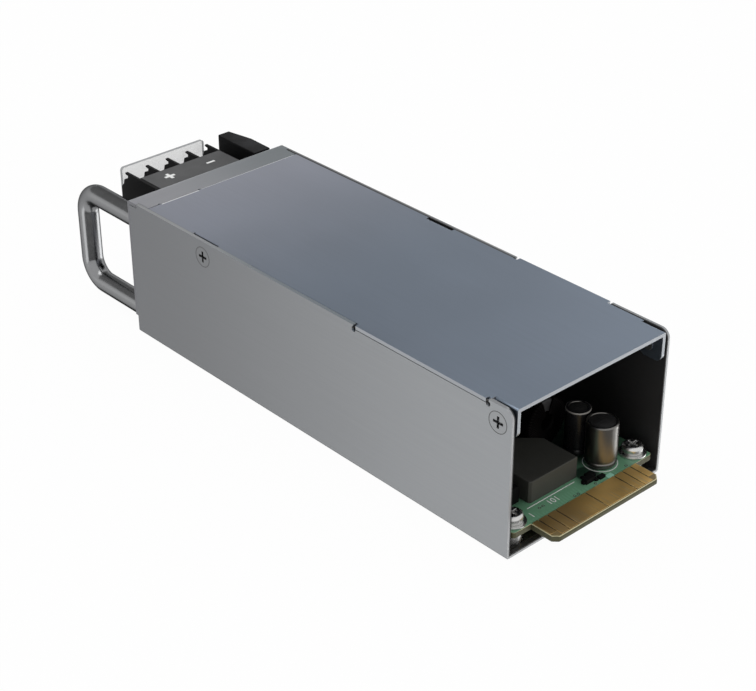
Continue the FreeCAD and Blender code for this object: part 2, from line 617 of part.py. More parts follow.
def status_light():
    """Small round light pushed through the panel from behind, with a collar inside."""
    lens = bar(Vector(light_x(), FRONT_Y - LIGHT_PROUD, LIGHT_Z), Y, LIGHT_RADIUS, LIGHT_PROUD + SHEET)
    collar = bar(Vector(light_x(), PANEL_BACK, LIGHT_Z), Y, LIGHT_RADIUS * 1.3, LIGHT_BODY)
    return joined(lens, collar)


def handle():
    """Rod bent into a U, with tapped ends against the panel."""
    low, high = HANDLE_LEGS
    out = FRONT_Y - HANDLE_REACH
    turn = out + HANDLE_BEND
    rod = [bar(Vector(HANDLE_X, turn, z), Y, HANDLE_RADIUS, FRONT_Y - turn) for z in HANDLE_LEGS]
    rod.append(bar(Vector(HANDLE_X, out, low + HANDLE_BEND), Z, HANDLE_RADIUS, high - low - 2 * HANDLE_BEND))
    for z, centre_z, angle in ((low, low + HANDLE_BEND, -90), (high, high - HANDLE_BEND, 90)):
        ring = Part.Face(Part.Wire([Part.makeCircle(HANDLE_RADIUS, Vector(HANDLE_X, turn, z), Y)]))
        rod.append(ring.revolve(Vector(HANDLE_X, turn, centre_z), X, angle))
    body = joined(*rod)
    bores = [bar(Vector(HANDLE_X, FRONT_Y, z), Y * -1, THREAD_RADIUS, HANDLE_SCREW_LENGTH) for z in HANDLE_LEGS]
    return body.cut(bores)


def handle_screws():
    """Two pan-head screws through the panel into the handle's legs."""
    return Part.makeCompound([pan_screw(Vector(HANDLE_X, PANEL_BACK, z), Y * -1, HANDLE_SCREW_LENGTH)
                              for z in HANDLE_LEGS])


def fin_outline(x):
    """Side view of a barrier fin: a hooked tip above, then steps down to a longer nose."""
    face, top, low = BLOCK_FACE, BLOCK_TOP, BLOCK_BOTTOM
    steps = [(back - FIN_REACH, top - drop) for back, drop in FIN_STEPS]
    profile = [(0, top), (-FIN_REACH, top), *steps, (-FIN_NOSE, top - 4.8), (-FIN_NOSE, low + 3.4),
               (-FIN_NOSE + 2.4, low), (0, low)]
    return [Vector(x, face + y, z) for y, z in profile]


def terminal_block():
    """Barrier block: body against the panel, five fins, pin bosses for the guard, slots for the plates."""
    body = block((BLOCK_LEFT, BLOCK_RIGHT), (BLOCK_FACE, FRONT_Y), (BLOCK_BOTTOM, BLOCK_TOP))
    fins = [plate(fin_outline(BLOCK_LEFT + index * POLE_PITCH), X * FIN) for index in range(POLES + 1)]
    reach = GUARD_ARM_GAP + GUARD_ARM
    pins = [bar(Vector(BLOCK_RIGHT, HINGE_Y, HINGE_Z), X, GUARD_PIN_RADIUS, reach),
            bar(Vector(BLOCK_LEFT, HINGE_Y, HINGE_Z), X * -1, GUARD_PIN_RADIUS, reach)]
    cuts = []
    for x in POLE_X:
        cuts.append(bar(Vector(x, BLOCK_FACE, TERMINAL_Z), Y, THREAD_RADIUS, 5))
        cuts.append(block((x - TAIL_WIDTH / 2, x + TAIL_WIDTH / 2), (BLOCK_FACE, FRONT_Y),
                          (tail_z(), tail_z() + TERMINAL_PLATE[2])))
    cuts += [bar(place - Y * SHEET, Y * -1, THREAD_RADIUS, FIXING_LENGTH) for place in fixing_places()]
    return joined(body, *fins, *pins).cut(cuts)


def fixing_places():
    """Seats of the two screws that hold the block, on the back of the panel."""
    z = BLOCK_TOP - FIXING_DROP
    return [Vector(x, PANEL_BACK, z) for x in (BLOCK_LEFT + FIXING_INSET, BLOCK_RIGHT - FIXING_INSET)]


def terminal_fixings():
    """Two pan-head screws through the panel into the block."""
    return Part.makeCompound([pan_screw(place, Y * -1, FIXING_LENGTH + SHEET) for place in fixing_places()])


def tail_z():
    """Underside of the terminals' flat tails, just below the screw."""
    return TERMINAL_Z - THREAD_RADIUS - TERMINAL_PLATE[2] - 0.2


def terminal_plates():
    """Four plated clamping plates, each with a flat tail that goes back through the block and the panel."""
    width, height, thickness = TERMINAL_PLATE
    pieces = []
    for x in POLE_X:
        front = block((x - width / 2, x + width / 2), (BLOCK_FACE - thickness, BLOCK_FACE),
                      (TERMINAL_Z - height / 2, TERMINAL_Z + height / 2))
        tail = block((x - TAIL_WIDTH / 2, x + TAIL_WIDTH / 2), (BLOCK_FACE - thickness, PANEL_BACK + TAIL_REACH),
                     (tail_z(), tail_z() + thickness))
        hole = bar(Vector(x, BLOCK_FACE - 2 * thickness, TERMINAL_Z), Y, THREAD_RADIUS, 3 * thickness)
        pieces.append(joined(front, tail).cut(hole))
    return Part.makeCompound(pieces)


def terminal_screws():
    """Four binding-head screws in the plates."""
    pieces = []
    for x in POLE_X:
        seat = Vector(x, BLOCK_FACE - TERMINAL_PLATE[2], TERMINAL_Z)
        head = bar(seat, Y * -1, BINDING_HEAD_RADIUS, BINDING_HEAD_HEIGHT)
        shank = bar(seat, Y, THREAD_RADIUS, TERMINAL_PLATE[2] + 4.5)
        pieces.append(joined(head, shank).cut(cross_recess(seat - Y * BINDING_HEAD_HEIGHT, Y)))
    return Part.makeCompound(pieces)


def terminal_cover():
    """Clear plate in front of the fins, with two arms that turn on the block's pins."""
    back = GUARD_Y
    front = GUARD_Y - GUARD
    inner = GUARD_ARM_GAP
    outer = GUARD_ARM_GAP + GUARD_ARM
    foot = HINGE_Z - GUARD_FOOT
    shoulder = HINGE_Z + GUARD_EAR
    sheet = block((BLOCK_LEFT, BLOCK_RIGHT - FIN), (front, back), (foot, BLOCK_TOP))
    sheet = sheet.makeFillet(1.0, edges_along(sheet, Y, lambda p: near(p.z, BLOCK_TOP)))
    skirt = block((BLOCK_LEFT - outer, BLOCK_RIGHT + outer), (front, back), (foot, shoulder))
    arms = []
    for x in (BLOCK_RIGHT + inner, BLOCK_LEFT - outer):
        arm = block((x, x + GUARD_ARM), (front, HINGE_Y), (foot, shoulder - 0.4))
        ear = bar(Vector(x, HINGE_Y, HINGE_Z), X, GUARD_FOOT, GUARD_ARM)
        arms += [arm, ear]
    holes = [bar(Vector(BLOCK_LEFT - 2 * outer, HINGE_Y, HINGE_Z), X, GUARD_PIN_RADIUS + PIVOT_FIT,
                 BLOCK_RIGHT - BLOCK_LEFT + 4 * outer)]
    return joined(sheet, skirt, *arms).cut(holes)


def input_links():
    """Two copper links behind the panel, each joining the tails of two neighbouring poles."""
    thickness = TERMINAL_PLATE[2]
    z = tail_z()
    y = (PANEL_BACK + TAIL_REACH - LINK_WIDTH, PANEL_BACK + TAIL_REACH)
    pieces = []
    for first in range(0, POLES, 2):
        pieces.append(block((POLE_X[first] - TAIL_WIDTH / 2, POLE_X[first + 1] + TAIL_WIDTH / 2), y,
                            (z - thickness, z)))
    return Part.makeCompound(pieces)


def input_wire(pole, height, landing):
    """Lead from a link down behind the panel, aside, back past the fan and down on the board."""
    top = Vector(pole, PANEL_BACK + TAIL_REACH - LINK_WIDTH / 2, tail_z() - TERMINAL_PLATE[2])
    channel = FAN_LEFT - WIRE_CHANNEL
    end = BOARD_FRONT + landing
    return tube([top, Vector(top.x, top.y, height), Vector(channel, top.y, height), Vector(channel, end, height),
                 Vector(channel, end, BOARD_TOP)], WIRE_RADIUS, WIRE_BEND)


def input_wire_negative():
    """Lead of the first pair of poles."""
    return input_wire(POLE_X[0] + POLE_PITCH / 2, WIRE_HEIGHTS[0], WIRE_LANDINGS[0])


def input_wire_positive():
    """Lead of the second pair of poles."""
    return input_wire(POLE_X[2], WIRE_HEIGHTS[1], WIRE_LANDINGS[1])


def latch_bracket():
    """Bracket riveted to the left wall: two ears carry the lever's pin."""
    wall = -INNER_X
    ear_y = (PIVOT_Y - EAR_LENGTH / 2, PIVOT_Y + EAR_LENGTH / 2)
    ears = [block((wall, wall + EAR_DEPTH), ear_y, (z, z + EAR)) for z in (EAR_LOW, EAR_HIGH)]
    back = block((wall, wall + BRACKET_BACK), (ear_y[1] - EAR, ear_y[1] - EAR + BRACKET_BACK_LENGTH),
                 (EAR_LOW, EAR_HIGH + EAR))
    pin_hole = bar(Vector(PIVOT_X, PIVOT_Y, EAR_LOW - EAR), Z, PIN_RADIUS, EAR_HIGH - EAR_LOW + 3 * EAR)
    return joined(back, *ears).cut([pin_hole] + rivet_holes())


def latch_rivets():
    """Two rivets through the wall and the latch bracket."""
    pieces = []
    for z in RIVET_HEIGHTS:
        outside = Vector(-HALF_WIDTH, RIVET_Y, z)
        inside = Vector(-INNER_X + BRACKET_BACK, RIVET_Y, z)
        pieces.append(joined(bar(outside, X, RIVET_RADIUS, SHEET + BRACKET_BACK),
                             bar(outside, X * -1, RIVET_HEAD_RADIUS, RIVET_HEAD * 0.6),
                             bar(inside, X, RIVET_HEAD_RADIUS, RIVET_HEAD)))
    return Part.makeCompound(pieces)


def latch_pin():
    """Pin of the lever, pressed into both ears, with a small head on top."""
    top = EAR_HIGH + EAR
    shank = bar(Vector(PIVOT_X, PIVOT_Y, EAR_LOW), Z, PIN_RADIUS, top - EAR_LOW)
    return joined(shank, bar(Vector(PIVOT_X, PIVOT_Y, top), Z, PIN_RADIUS * 1.5, EAR * 0.6))


def latch_lever():
    """Thumb piece, arm and hook in one moulding, turning on the pin."""
    tip = FRONT_Y - LEVER_REACH
    root = FRONT_Y - LEVER_STANDOFF
    near_x = LEVER_NEAR_X
    shape = [Vector(x, y, LEVER_TOP - LEVER_HEIGHT) for x, y in (
        (near_x, root), (near_x, tip + LEVER_BEVEL), (near_x - LEVER_BEVEL * 0.4, tip),
        (near_x - LEVER_TIP_WIDTH, tip), (near_x - LEVER_TIP_WIDTH - LEVER_BULGE, (tip + root) / 2),
        (near_x - LEVER_ROOT_WIDTH, root))]
    thumb = plate(shape, Z * LEVER_HEIGHT)
    thumb = thumb.makeFillet(0.35, edges_along(thumb, Z, lambda p: near(p.y, tip)))
    arm = block((ARM_X, ARM_X + ARM_THICKNESS), (root - 1, PIVOT_Y), (ARM_LOW, ARM_HIGH))
    neck = block((ARM_X, PIVOT_X), (PIVOT_Y - KNUCKLE_RADIUS, PIVOT_Y), (ARM_LOW, ARM_HIGH))
    knuckle = bar(Vector(PIVOT_X, PIVOT_Y, ARM_LOW), Z, KNUCKLE_RADIUS, ARM_HEIGHT)
    catch = FRONT_Y + HOOK_START
    hook = plate([Vector(x, y, ARM_LOW) for x, y in (
        (ARM_X + SHEET / 2, catch), (-HALF_WIDTH - HOOK_PROUD, catch),
        (-HALF_WIDTH - HOOK_PROUD, catch + 1.0), (ARM_X + SHEET / 2, catch + HOOK_LENGTH))], Z * ARM_HEIGHT)
    lever = joined(thumb, arm, neck, knuckle, hook)
    return lever.cut(bar(Vector(PIVOT_X, PIVOT_Y, ARM_LOW - 1), Z, PIN_RADIUS + PIVOT_FIT, ARM_HEIGHT + 2))


def latch_spring():
    """Small torsion spring round the pin above the lever's knuckle, one leg along the wall."""
    radius = PIN_RADIUS + SPRING_WIRE + 0.25
    base = ARM_HIGH + SPRING_WIRE + 0.15
    pitch = (SPRING_ROOM - 2 * SPRING_WIRE - 0.4) / SPRING_COILS
    coil = Part.makeHelix(pitch, pitch * SPRING_COILS, radius)
    coil.translate(Vector(PIVOT_X, PIVOT_Y, base))
    start = Vector(PIVOT_X + radius, PIVOT_Y, base)
    rise = Vector(0, 2 * math.pi * radius, pitch)
    ring = Part.Wire([Part.makeCircle(SPRING_WIRE, start, rise)])
    body = Part.Wire(coil.Edges).makePipeShell([ring], True, True)
    end = start + Z * (pitch * SPRING_COILS)
    legs = [bar(start, Y * -1, SPRING_WIRE, SPRING_LEG), bar(end, Y, SPRING_WIRE, SPRING_LEG)]
    elbows = [Part.makeSphere(SPRING_WIRE, place) for place in (start, end)]
    return joined(body, *legs, *elbows)


def fan_frame():
    """Square frame with a round bore, corner holes, and a boss on three struts at the back."""
    low = Vector(FAN_LEFT, FAN_FRONT, FAN_Z - FAN_SIZE / 2)
    frame = Part.makeBox(FAN_SIZE, FAN_DEPTH, FAN_SIZE, low)
    frame = frame.makeFillet(2.0, edges_along(frame, Y, lambda p: True))
    centre = Vector(FAN_X, FAN_FRONT, FAN_Z)
    frame = frame.cut(bar(centre, Y, FAN_BORE, FAN_DEPTH))
    struts = [bar(Vector(FAN_X, FAN_BACK - FAN_STRUT, FAN_Z), Y, FAN_HUB, FAN_STRUT)]
    for angle in (90, 210, 330):
        arm = block((FAN_X, FAN_X + FAN_BORE + 0.4), (FAN_BACK - FAN_STRUT, FAN_BACK),
                    (FAN_Z - FAN_STRUT / 2, FAN_Z + FAN_STRUT / 2))
        arm.rotate(centre, Y, angle)
        struts.append(arm)
    struts.append(bar(Vector(FAN_X, FAN_BACK - FAN_STRUT - BEARING_LENGTH, FAN_Z), Y, BEARING_RADIUS + BOSS_WALL,
                      BEARING_LENGTH))
    holes = [bar(Vector(FAN_X + x * FAN_HOLE_OFFSET, FAN_FRONT, FAN_Z + z * FAN_HOLE_OFFSET), Y, THREAD_RADIUS,
                 FAN_DEPTH) for x in (-1, 1) for z in (-1, 1)]
    holes.append(bar(Vector(FAN_X, FAN_BACK - FAN_STRUT - BEARING_LENGTH, FAN_Z), Y, BEARING_RADIUS,
                     BEARING_LENGTH))
    return joined(frame, *struts).cut(holes)


def fan_bearing():
    """Sleeve bearing in the frame's boss."""
    start = Vector(FAN_X, FAN_BACK - FAN_STRUT - BEARING_LENGTH, FAN_Z)
    return bar(start, Y, BEARING_RADIUS, BEARING_LENGTH).cut(bar(start, Y, SHAFT_RADIUS + PIVOT_FIT, BEARING_LENGTH))


def fan_stator():
    """Laminated stator with four coils, pressed on the boss inside the rotor's cup."""
    start = Vector(FAN_X, FAN_BACK - FAN_STRUT - BEARING_LENGTH + 0.5, FAN_Z)
    outer = FAN_HUB - FAN_CUP_WALL - STATOR_GAP
    length = BEARING_LENGTH - 1.5
    ring = bar(start, Y, outer, length)
    gaps = []
    for angle in (45, 135, 225, 315):
        gap = block((outer * 0.55, outer + 1), (-1, length + 1), (-0.7, 0.7))
        gap.rotate(Vector(0, 0, 0), Y, angle)
        gap.translate(start)
        gaps.append(gap)
    return ring.cut(gaps + [bar(start, Y, BEARING_RADIUS + BOSS_WALL, length)])


def fan_rotor():
    """Cup and blades."""
    start = Vector(FAN_X, FAN_FRONT + ROTOR_INSET, FAN_Z)
    cup = bar(start, Y, FAN_HUB, FAN_ROTOR_DEPTH)
    cup = cup.cut(bar(start + Y * FAN_CUP_WALL, Y, FAN_HUB - FAN_CUP_WALL, FAN_ROTOR_DEPTH))
    tip = FAN_BORE - FAN_TIP_GAP
    ring = bar(start, Y, tip, FAN_ROTOR_DEPTH).cut(bar(start, Y, FAN_HUB - 0.3, FAN_ROTOR_DEPTH))
    blades = []
    for index in range(FAN_BLADES):
        blade = block((0, tip + 2), (-FAN_ROTOR_DEPTH, FAN_ROTOR_DEPTH), (-FAN_BLADE / 2, FAN_BLADE / 2))
        blade.rotate(Vector(0, 0, 0), X, FAN_BLADE_ANGLE)
        blade.rotate(Vector(0, 0, 0), Y, 360 * index / FAN_BLADES)
        blade.translate(start + Y * (FAN_ROTOR_DEPTH / 2))
        blades.append(blade.common(ring))
    rotor = joined(cup, *blades)
    return rotor.cut(bar(start, Y, SHAFT_RADIUS, FAN_ROTOR_DEPTH))


def fan_shaft():
    """Shaft pressed into the cup and running in the bearing."""
    start = Vector(FAN_X, FAN_FRONT + ROTOR_INSET, FAN_Z)
    return bar(start, Y, SHAFT_RADIUS, FAN_DEPTH - FAN_STRUT - ROTOR_INSET - SHAFT_INSET)


def fan_bracket():
    """Angle plate behind the fan, standing on the floor."""
    back = (FAN_BACK, FAN_BACK + SHEET)
    x = (FAN_LEFT + BRACKET_MARGIN, FAN_LEFT + FAN_SIZE - BRACKET_MARGIN)
    wall = block(x, back, (SHEET, FAN_Z + FAN_SIZE / 2))
    foot = block((x[0] + 2, x[1] - 2), (back[0], back[1] + BRACKET_FOOT), (SHEET, 2 * SHEET))
    cuts = [bar(Vector(FAN_X, back[0] - SHEET, FAN_Z), Y, BRACKET_OPENING, 3 * SHEET)]
    cuts += [bar(Vector(p.x, back[0] - SHEET, p.z), Y, THREAD_RADIUS + HOLE_CLEARANCE, 3 * SHEET)
             for p in fan_screw_places()]
    cuts += [countersink(Vector(px, py, 0), Z) for px, py in FOOT_SCREWS]
    return joined(wall, foot).cut(cuts)


def fan_screw_places():
    """Seats of the fan's four screws on the bracket."""
    return [Vector(FAN_X + x * FAN_HOLE_OFFSET, FAN_BACK + SHEET, FAN_Z + z * FAN_HOLE_OFFSET)
            for x in (-1, 1) for z in (-1, 1)]


def fan_screws():
    """Four screws through the bracket into the fan's frame."""
    return Part.makeCompound([pan_screw(place, Y * -1, FAN_SCREW_LENGTH + SHEET) for place in fan_screw_places()])


def floor_screws():
    """Countersunk screws from below into the fan bracket's foot and the panel's flange."""
    return Part.makeCompound([flat_screw(Vector(x, y, 0), Z, FLOOR_SCREW_LENGTH)
                              for x, y in FOOT_SCREWS + FLANGE_SCREWS])


def fan_connector():
    """Small socket on the board for the fan's lead."""
    width, depth, height = CONNECTOR
    x = FAN_LEFT - LEAD_CHANNEL
    y = BOARD_FRONT + CONNECTOR_INSET
    return block((x - width / 2, x + width / 2), (y, y + depth), (BOARD_TOP, BOARD_TOP + height))


def fan_lead():
    """Sleeved lead from the fan's side back to its socket."""
    x = FAN_LEFT - LEAD_CHANNEL
    z = BOARD_TOP + CONNECTOR[2] / 2
    turn = FAN_BACK - LEAD_START
    return tube([Vector(FAN_LEFT, turn, z), Vector(x, turn, z), Vector(x, BOARD_FRONT + CONNECTOR_INSET, z)],
                LEAD_RADIUS, LEAD_BEND)


def main_board():
    """Circuit board on pillars, with a narrower tongue out of the case's end."""
    tip = REAR_Y + TONGUE_REACH
    outline = [(-BOARD_HALF_WIDTH, BOARD_FRONT), (BOARD_HALF_WIDTH, BOARD_FRONT), (BOARD_HALF_WIDTH, BOARD_REAR),
               (TONGUE_RIGHT, BOARD_REAR), (TONGUE_RIGHT, tip - TONGUE_CHAMFER), (TONGUE_RIGHT - TONGUE_CHAMFER, tip),
               (TONGUE_LEFT + TONGUE_CHAMFER, tip), (TONGUE_LEFT, tip - TONGUE_CHAMFER), (TONGUE_LEFT, BOARD_REAR),
               (-BOARD_HALF_WIDTH, BOARD_REAR)]
    board = plate([Vector(x, y, BOARD_BOTTOM) for x, y in outline], Z * BOARD)
    shoulders = edges_along(board, Z, lambda p: near(p.y, BOARD_REAR) and near(abs(p.x), BOARD_HALF_WIDTH))
    board = board.makeFillet(1.0, shoulders)
    lead_in = edges_along(board, X, lambda p: near(p.y, tip))
    board = board.makeChamfer(0.4, lead_in)
    return board.cut([bar(Vector(x, y, BOARD_BOTTOM), Z, THREAD_RADIUS + HOLE_CLEARANCE, BOARD)
                      for x, y in BOARD_SCREWS])


def card_contacts():
    """Gold contacts on both faces of the tongue, the outer ones cut short by its corners."""
    tip = REAR_Y + TONGUE_REACH - CONTACT_INSET
    last = len(CONTACT_WIDTHS) - 1
    room = TONGUE_RIGHT - TONGUE_LEFT - 2 * CONTACT_MARGIN - CONTACT_GAP * last
    edge = TONGUE_LEFT + CONTACT_MARGIN
    pieces = []
    for index, share in enumerate(CONTACT_WIDTHS):
        width = room * share / sum(CONTACT_WIDTHS)
        end = tip - TONGUE_CHAMFER if index in (0, last) else tip
        for z in (BOARD_TOP, BOARD_BOTTOM - CONTACT):
            pieces.append(block((edge, edge + width), (tip - CONTACT_LENGTH, end), (z, z + CONTACT)))
        edge += width + CONTACT_GAP
    return Part.makeCompound(pieces)


def board_standoffs():
    """Threaded pillars clinched into the floor."""
    pieces = []
    for x, y in BOARD_SCREWS:
        pillar = joined(bar(Vector(x, y, SHEET), Z, STANDOFF_RADIUS, BOARD_BOTTOM - SHEET),
                        bar(Vector(x, y, 0), Z, STANDOFF_FOOT, SHEET))
        pieces.append(pillar.cut(bar(Vector(x, y, 0), Z, THREAD_RADIUS, BOARD_BOTTOM)))
    return Part.makeCompound(pieces)


def board_washers():
    """Washers under the board's screws."""
    return Part.makeCompound([bar(Vector(x, y, BOARD_TOP), Z, WASHER_RADIUS, WASHER).cut(
        bar(Vector(x, y, BOARD_TOP), Z, THREAD_RADIUS + HOLE_CLEARANCE, WASHER)) for x, y in BOARD_SCREWS])


def board_screws():
    """Pan-head screws through the washers and the board into the pillars."""
    length = WASHER + BOARD + (BOARD_BOTTOM - SHEET) * 0.8
    return Part.makeCompound([pan_screw(Vector(x, y, BOARD_TOP + WASHER), Z * -1, length) for x, y in BOARD_SCREWS])


def insulating_sheet():
    """Thin insulating film on the floor under the board, clear of the pillars."""
    margin = FILM_MARGIN
    film = block((-INNER_X + margin, INNER_X - margin), (FAN_BACK + 2 * SHEET + BRACKET_FOOT, REAR_Y - 2 * margin),
                 (SHEET, SHEET + SHEET_FILM))
    return film.cut([bar(Vector(x, y, SHEET), Z, STANDOFF_RADIUS + margin / 2, SHEET_FILM) for x, y in BOARD_SCREWS])


def can(place, radius, height):
    """Electrolytic can standing on the board, with its crimp groove and a rounded top edge."""
    base = Vector(place[0], place[1], BOARD_TOP)
    body = bar(base, Z, radius, height)
    rims = [edge for edge in body.Edges if len(edge.Vertexes) == 1 and near(edge.CenterOfMass.z, BOARD_TOP + height)]
    body = body.makeFillet(0.4, rims)
    groove = Part.makeTorus(radius + CAN_GROOVE * 0.6, CAN_GROOVE, base + Z * 1.6)
    return body.cut(groove)


def output_capacitor():
    """Silver can by the card edge."""
    return can(CAN_PLACE, CAN_RADIUS, CAN_HEIGHT)


def tall_capacitor():
    """Darker can behind the silver one."""
    return can(TALL_CAN_PLACE, TALL_CAN_RADIUS, TALL_CAN_HEIGHT)


def filter_capacitors():
    """Row of taller cans further inside."""
    return Part.makeCompound([can(place, FILTER_CAN_RADIUS, FILTER_CAN_HEIGHT) for place in FILTER_CAN_PLACES])


def output_inductor():
    """Low moulded block with one corner cut back and another bevelled."""
    left, right = INDUCTOR_X
    low, high = INDUCTOR_Y
    bevel = 0.6
    outline = [(left, high), (left, low + INDUCTOR_CHAMFER), (left + 1.2, low + INDUCTOR_CHAMFER * 0.7),
               (left + 1.8, low + 3.0), (left + INDUCTOR_CHAMFER, low), (right, low), (right, high - bevel),
               (right - bevel, high)]
    body = plate([Vector(x, y, BOARD_TOP) for x, y in outline], Z * INDUCTOR_HEIGHT)
    tops = [edge for edge in body.Edges if near(edge.CenterOfMass.z, BOARD_TOP + INDUCTOR_HEIGHT)]
    return body.makeFillet(0.25, tops)


def small_parts():
    """Small black parts beside the inductor and in front of the silver can, the chip on two folded leads."""
    post = block((SMALL_BLOCK_LEFT, SMALL_BLOCK_RIGHT), SMALL_BLOCK_Y, (BOARD_TOP, BOARD_TOP + SMALL_BLOCK_HEIGHT))
    post = post.makeFillet(0.5, edges_along(post, Y, lambda p: near(p.z, BOARD_TOP + SMALL_BLOCK_HEIGHT)))
    left, right = (CAN_PLACE[0] + step for step in CHIP_X)
    low, high = CHIP_Y
    height = CHIP_HEIGHT
    chip = block((left, right), (low, high), (BOARD_TOP, BOARD_TOP + height))
    feet = [block((left - CHIP_LEAD, left), (low + 0.5, high - 0.5), (BOARD_TOP, BOARD_TOP + height / 2)),
            block((right, right + CHIP_LEAD), (low + 0.5, high - 0.5), (BOARD_TOP, BOARD_TOP + height / 2))]
    return Part.makeCompound([post, joined(chip, *feet)])


def input_fuse():
    """Cartridge fuse along the left edge of the board."""
    x, y = FUSE_PLACE
    z = BOARD_TOP + FUSE_LIFT + FUSE_RADIUS
    return bar(Vector(x, y - FUSE_LENGTH / 2, z), Y, FUSE_RADIUS, FUSE_LENGTH)


def fuse_clips():
    """Two spring clips that hold the fuse."""
    x, y = FUSE_PLACE
    z = BOARD_TOP + FUSE_LIFT + FUSE_RADIUS
    outer = FUSE_RADIUS + CLIP_WALL
    pieces = []
    for start in (y - FUSE_LENGTH / 2 + 0.5, y + FUSE_LENGTH / 2 - 0.5 - CLIP_LENGTH):
        ring = bar(Vector(x, start, z), Y, outer, CLIP_LENGTH)
        foot = block((x - outer, x + outer), (start, start + CLIP_LENGTH), (BOARD_TOP, z))
        mouth = block((x - outer, x + outer), (start, start + CLIP_LENGTH), (z + FUSE_RADIUS * 0.5, z + 2 * outer))
        pieces.append(joined(ring, foot).cut([bar(Vector(x, start, z), Y, FUSE_RADIUS, CLIP_LENGTH), mouth]))
    return Part.makeCompound(pieces)


def film_capacitor():
    """Boxed film capacitor across the input."""
    body = block((FILM_CAPACITOR_RIGHT - FILM_CAPACITOR_WIDTH, FILM_CAPACITOR_RIGHT), FILM_CAPACITOR_Y,
                 (BOARD_TOP, BOARD_TOP + FILM_CAPACITOR_HEIGHT))
    return body.makeFillet(0.5, [edge for edge in body.Edges if edge.CenterOfMass.z > BOARD_TOP + 1])


def torus_core(centre, axis, inner, outer, height):
    """Ring core with its middle at a point."""
    start = centre - axis * (height / 2)
    return bar(start, axis, outer, height).cut(bar(start, axis, inner, height))


def choke_core():
    """Ring core of the input choke, lying flat on its winding."""
    inner, outer, height = TORUS_CHOKE
    centre = Vector(CHOKE_PLACE[0], CHOKE_PLACE[1], BOARD_TOP + WINDING + height / 2)
    return torus_core(centre, Z, inner, outer, height)


def ring_winding(centre, axis, core, start, span):
    """Winding round a stretch of a ring core: a thick shell over the core's section."""
    inner, outer, height = core
    shell = torus_core(centre, axis, inner - WINDING, outer + WINDING, height + 2 * WINDING)
    wedge_low = centre - axis * (height / 2 + 2 * WINDING)
    radial = X if abs(axis.x) < 0.5 else Z
    profile = Part.Face(Part.makePolygon([wedge_low, wedge_low + radial * (outer * 2),
                                          wedge_low + radial * (outer * 2) + axis * (height + 4 * WINDING),
                                          wedge_low + axis * (height + 4 * WINDING), wedge_low]))
    wedge = profile.revolve(centre, axis, span)
    wedge.rotate(centre, axis, start)
    return shell.common(wedge).cut(torus_core(centre, axis, inner, outer, height))


def choke_windings():
    """Two windings on opposite halves of the input choke."""
    centre = Vector(CHOKE_PLACE[0], CHOKE_PLACE[1], BOARD_TOP + WINDING + TORUS_CHOKE[2] / 2)
    start = (180 - CHOKE_WINDING_SPAN) / 2
    return Part.makeCompound([ring_winding(centre, Z, TORUS_CHOKE, start + turn, CHOKE_WINDING_SPAN)
                              for turn in (0, 180)])


def transformer_core():
    """Two E-shaped ferrite halves that meet in the middle."""
    x, y = TRANSFORMER_PLACE
    width, _, height = TRANSFORMER
    z = BOARD_TOP + BOBBIN_WALL
    halves = []
    for side in (-1, 1):
        back = side * width / 2
        spine = block(sorted((x + back, x + back - side * CORE_LEG)), (y - CORE_DEPTH / 2, y + CORE_DEPTH / 2),
                      (z, z + height))
        legs = [block(sorted((x, x + back)), (y - CORE_DEPTH / 2, y + CORE_DEPTH / 2), (low, low + leg))
                for low, leg in ((z, CORE_LEG / 2), (z + height - CORE_LEG / 2, CORE_LEG / 2),
                                 (z + height / 2 - CORE_LEG / 2, CORE_LEG))]
        halves.append(joined(spine, *legs))
    return Part.makeCompound(halves)


def transformer_bobbin():
    """Bobbin round the middle leg, with a foot on the board at each side of the core."""
    x, y = TRANSFORMER_PLACE
    width, depth, height = TRANSFORMER
    z = BOARD_TOP + BOBBIN_WALL + height / 2
    window = width / 2 - CORE_LEG
    reach = height / 2 - CORE_LEG / 2
    tube_y = CORE_DEPTH / 2 + BOBBIN_WALL
    tube_z = CORE_LEG / 2 + BOBBIN_WALL
    pieces = [block((x - window, x + window), (y - tube_y, y + tube_y), (z - tube_z, z + tube_z))]
    for start in (x - window, x + window - BOBBIN_WALL):
        pieces.append(block((start, start + BOBBIN_WALL), (y - depth / 2, y + depth / 2), (z - reach, z + reach)))
    for start in (y - depth / 2, y + depth / 2 - 3.0):
        pieces.append(block((x - window, x + window), (start, start + 3.0), (BOARD_TOP, z - reach + BOBBIN_WALL)))
    hole = block((x - width, x + width), (y - CORE_DEPTH / 2, y + CORE_DEPTH / 2), (z - CORE_LEG / 2, z + CORE_LEG / 2))
    return joined(*pieces).cut(hole)


def transformer_winding():
    """Taped winding on the bobbin."""
    x, y = TRANSFORMER_PLACE
    width, depth, height = TRANSFORMER
    z = BOARD_TOP + BOBBIN_WALL + height / 2
    window = width / 2 - CORE_LEG - BOBBIN_WALL
    outer = (depth / 2 - 1.0, height / 2 - CORE_LEG / 2 - 1.2)
    body = block((x - window, x + window), (y - outer[0], y + outer[0]), (z - outer[1], z + outer[1]))
    body = body.makeFillet(1.5, edges_along(body, X, lambda p: True))
    inner = (CORE_DEPTH / 2 + BOBBIN_WALL, CORE_LEG / 2 + BOBBIN_WALL)
    return body.cut(block((x - width, x + width), (y - inner[0], y + inner[0]), (z - inner[1], z + inner[1])))


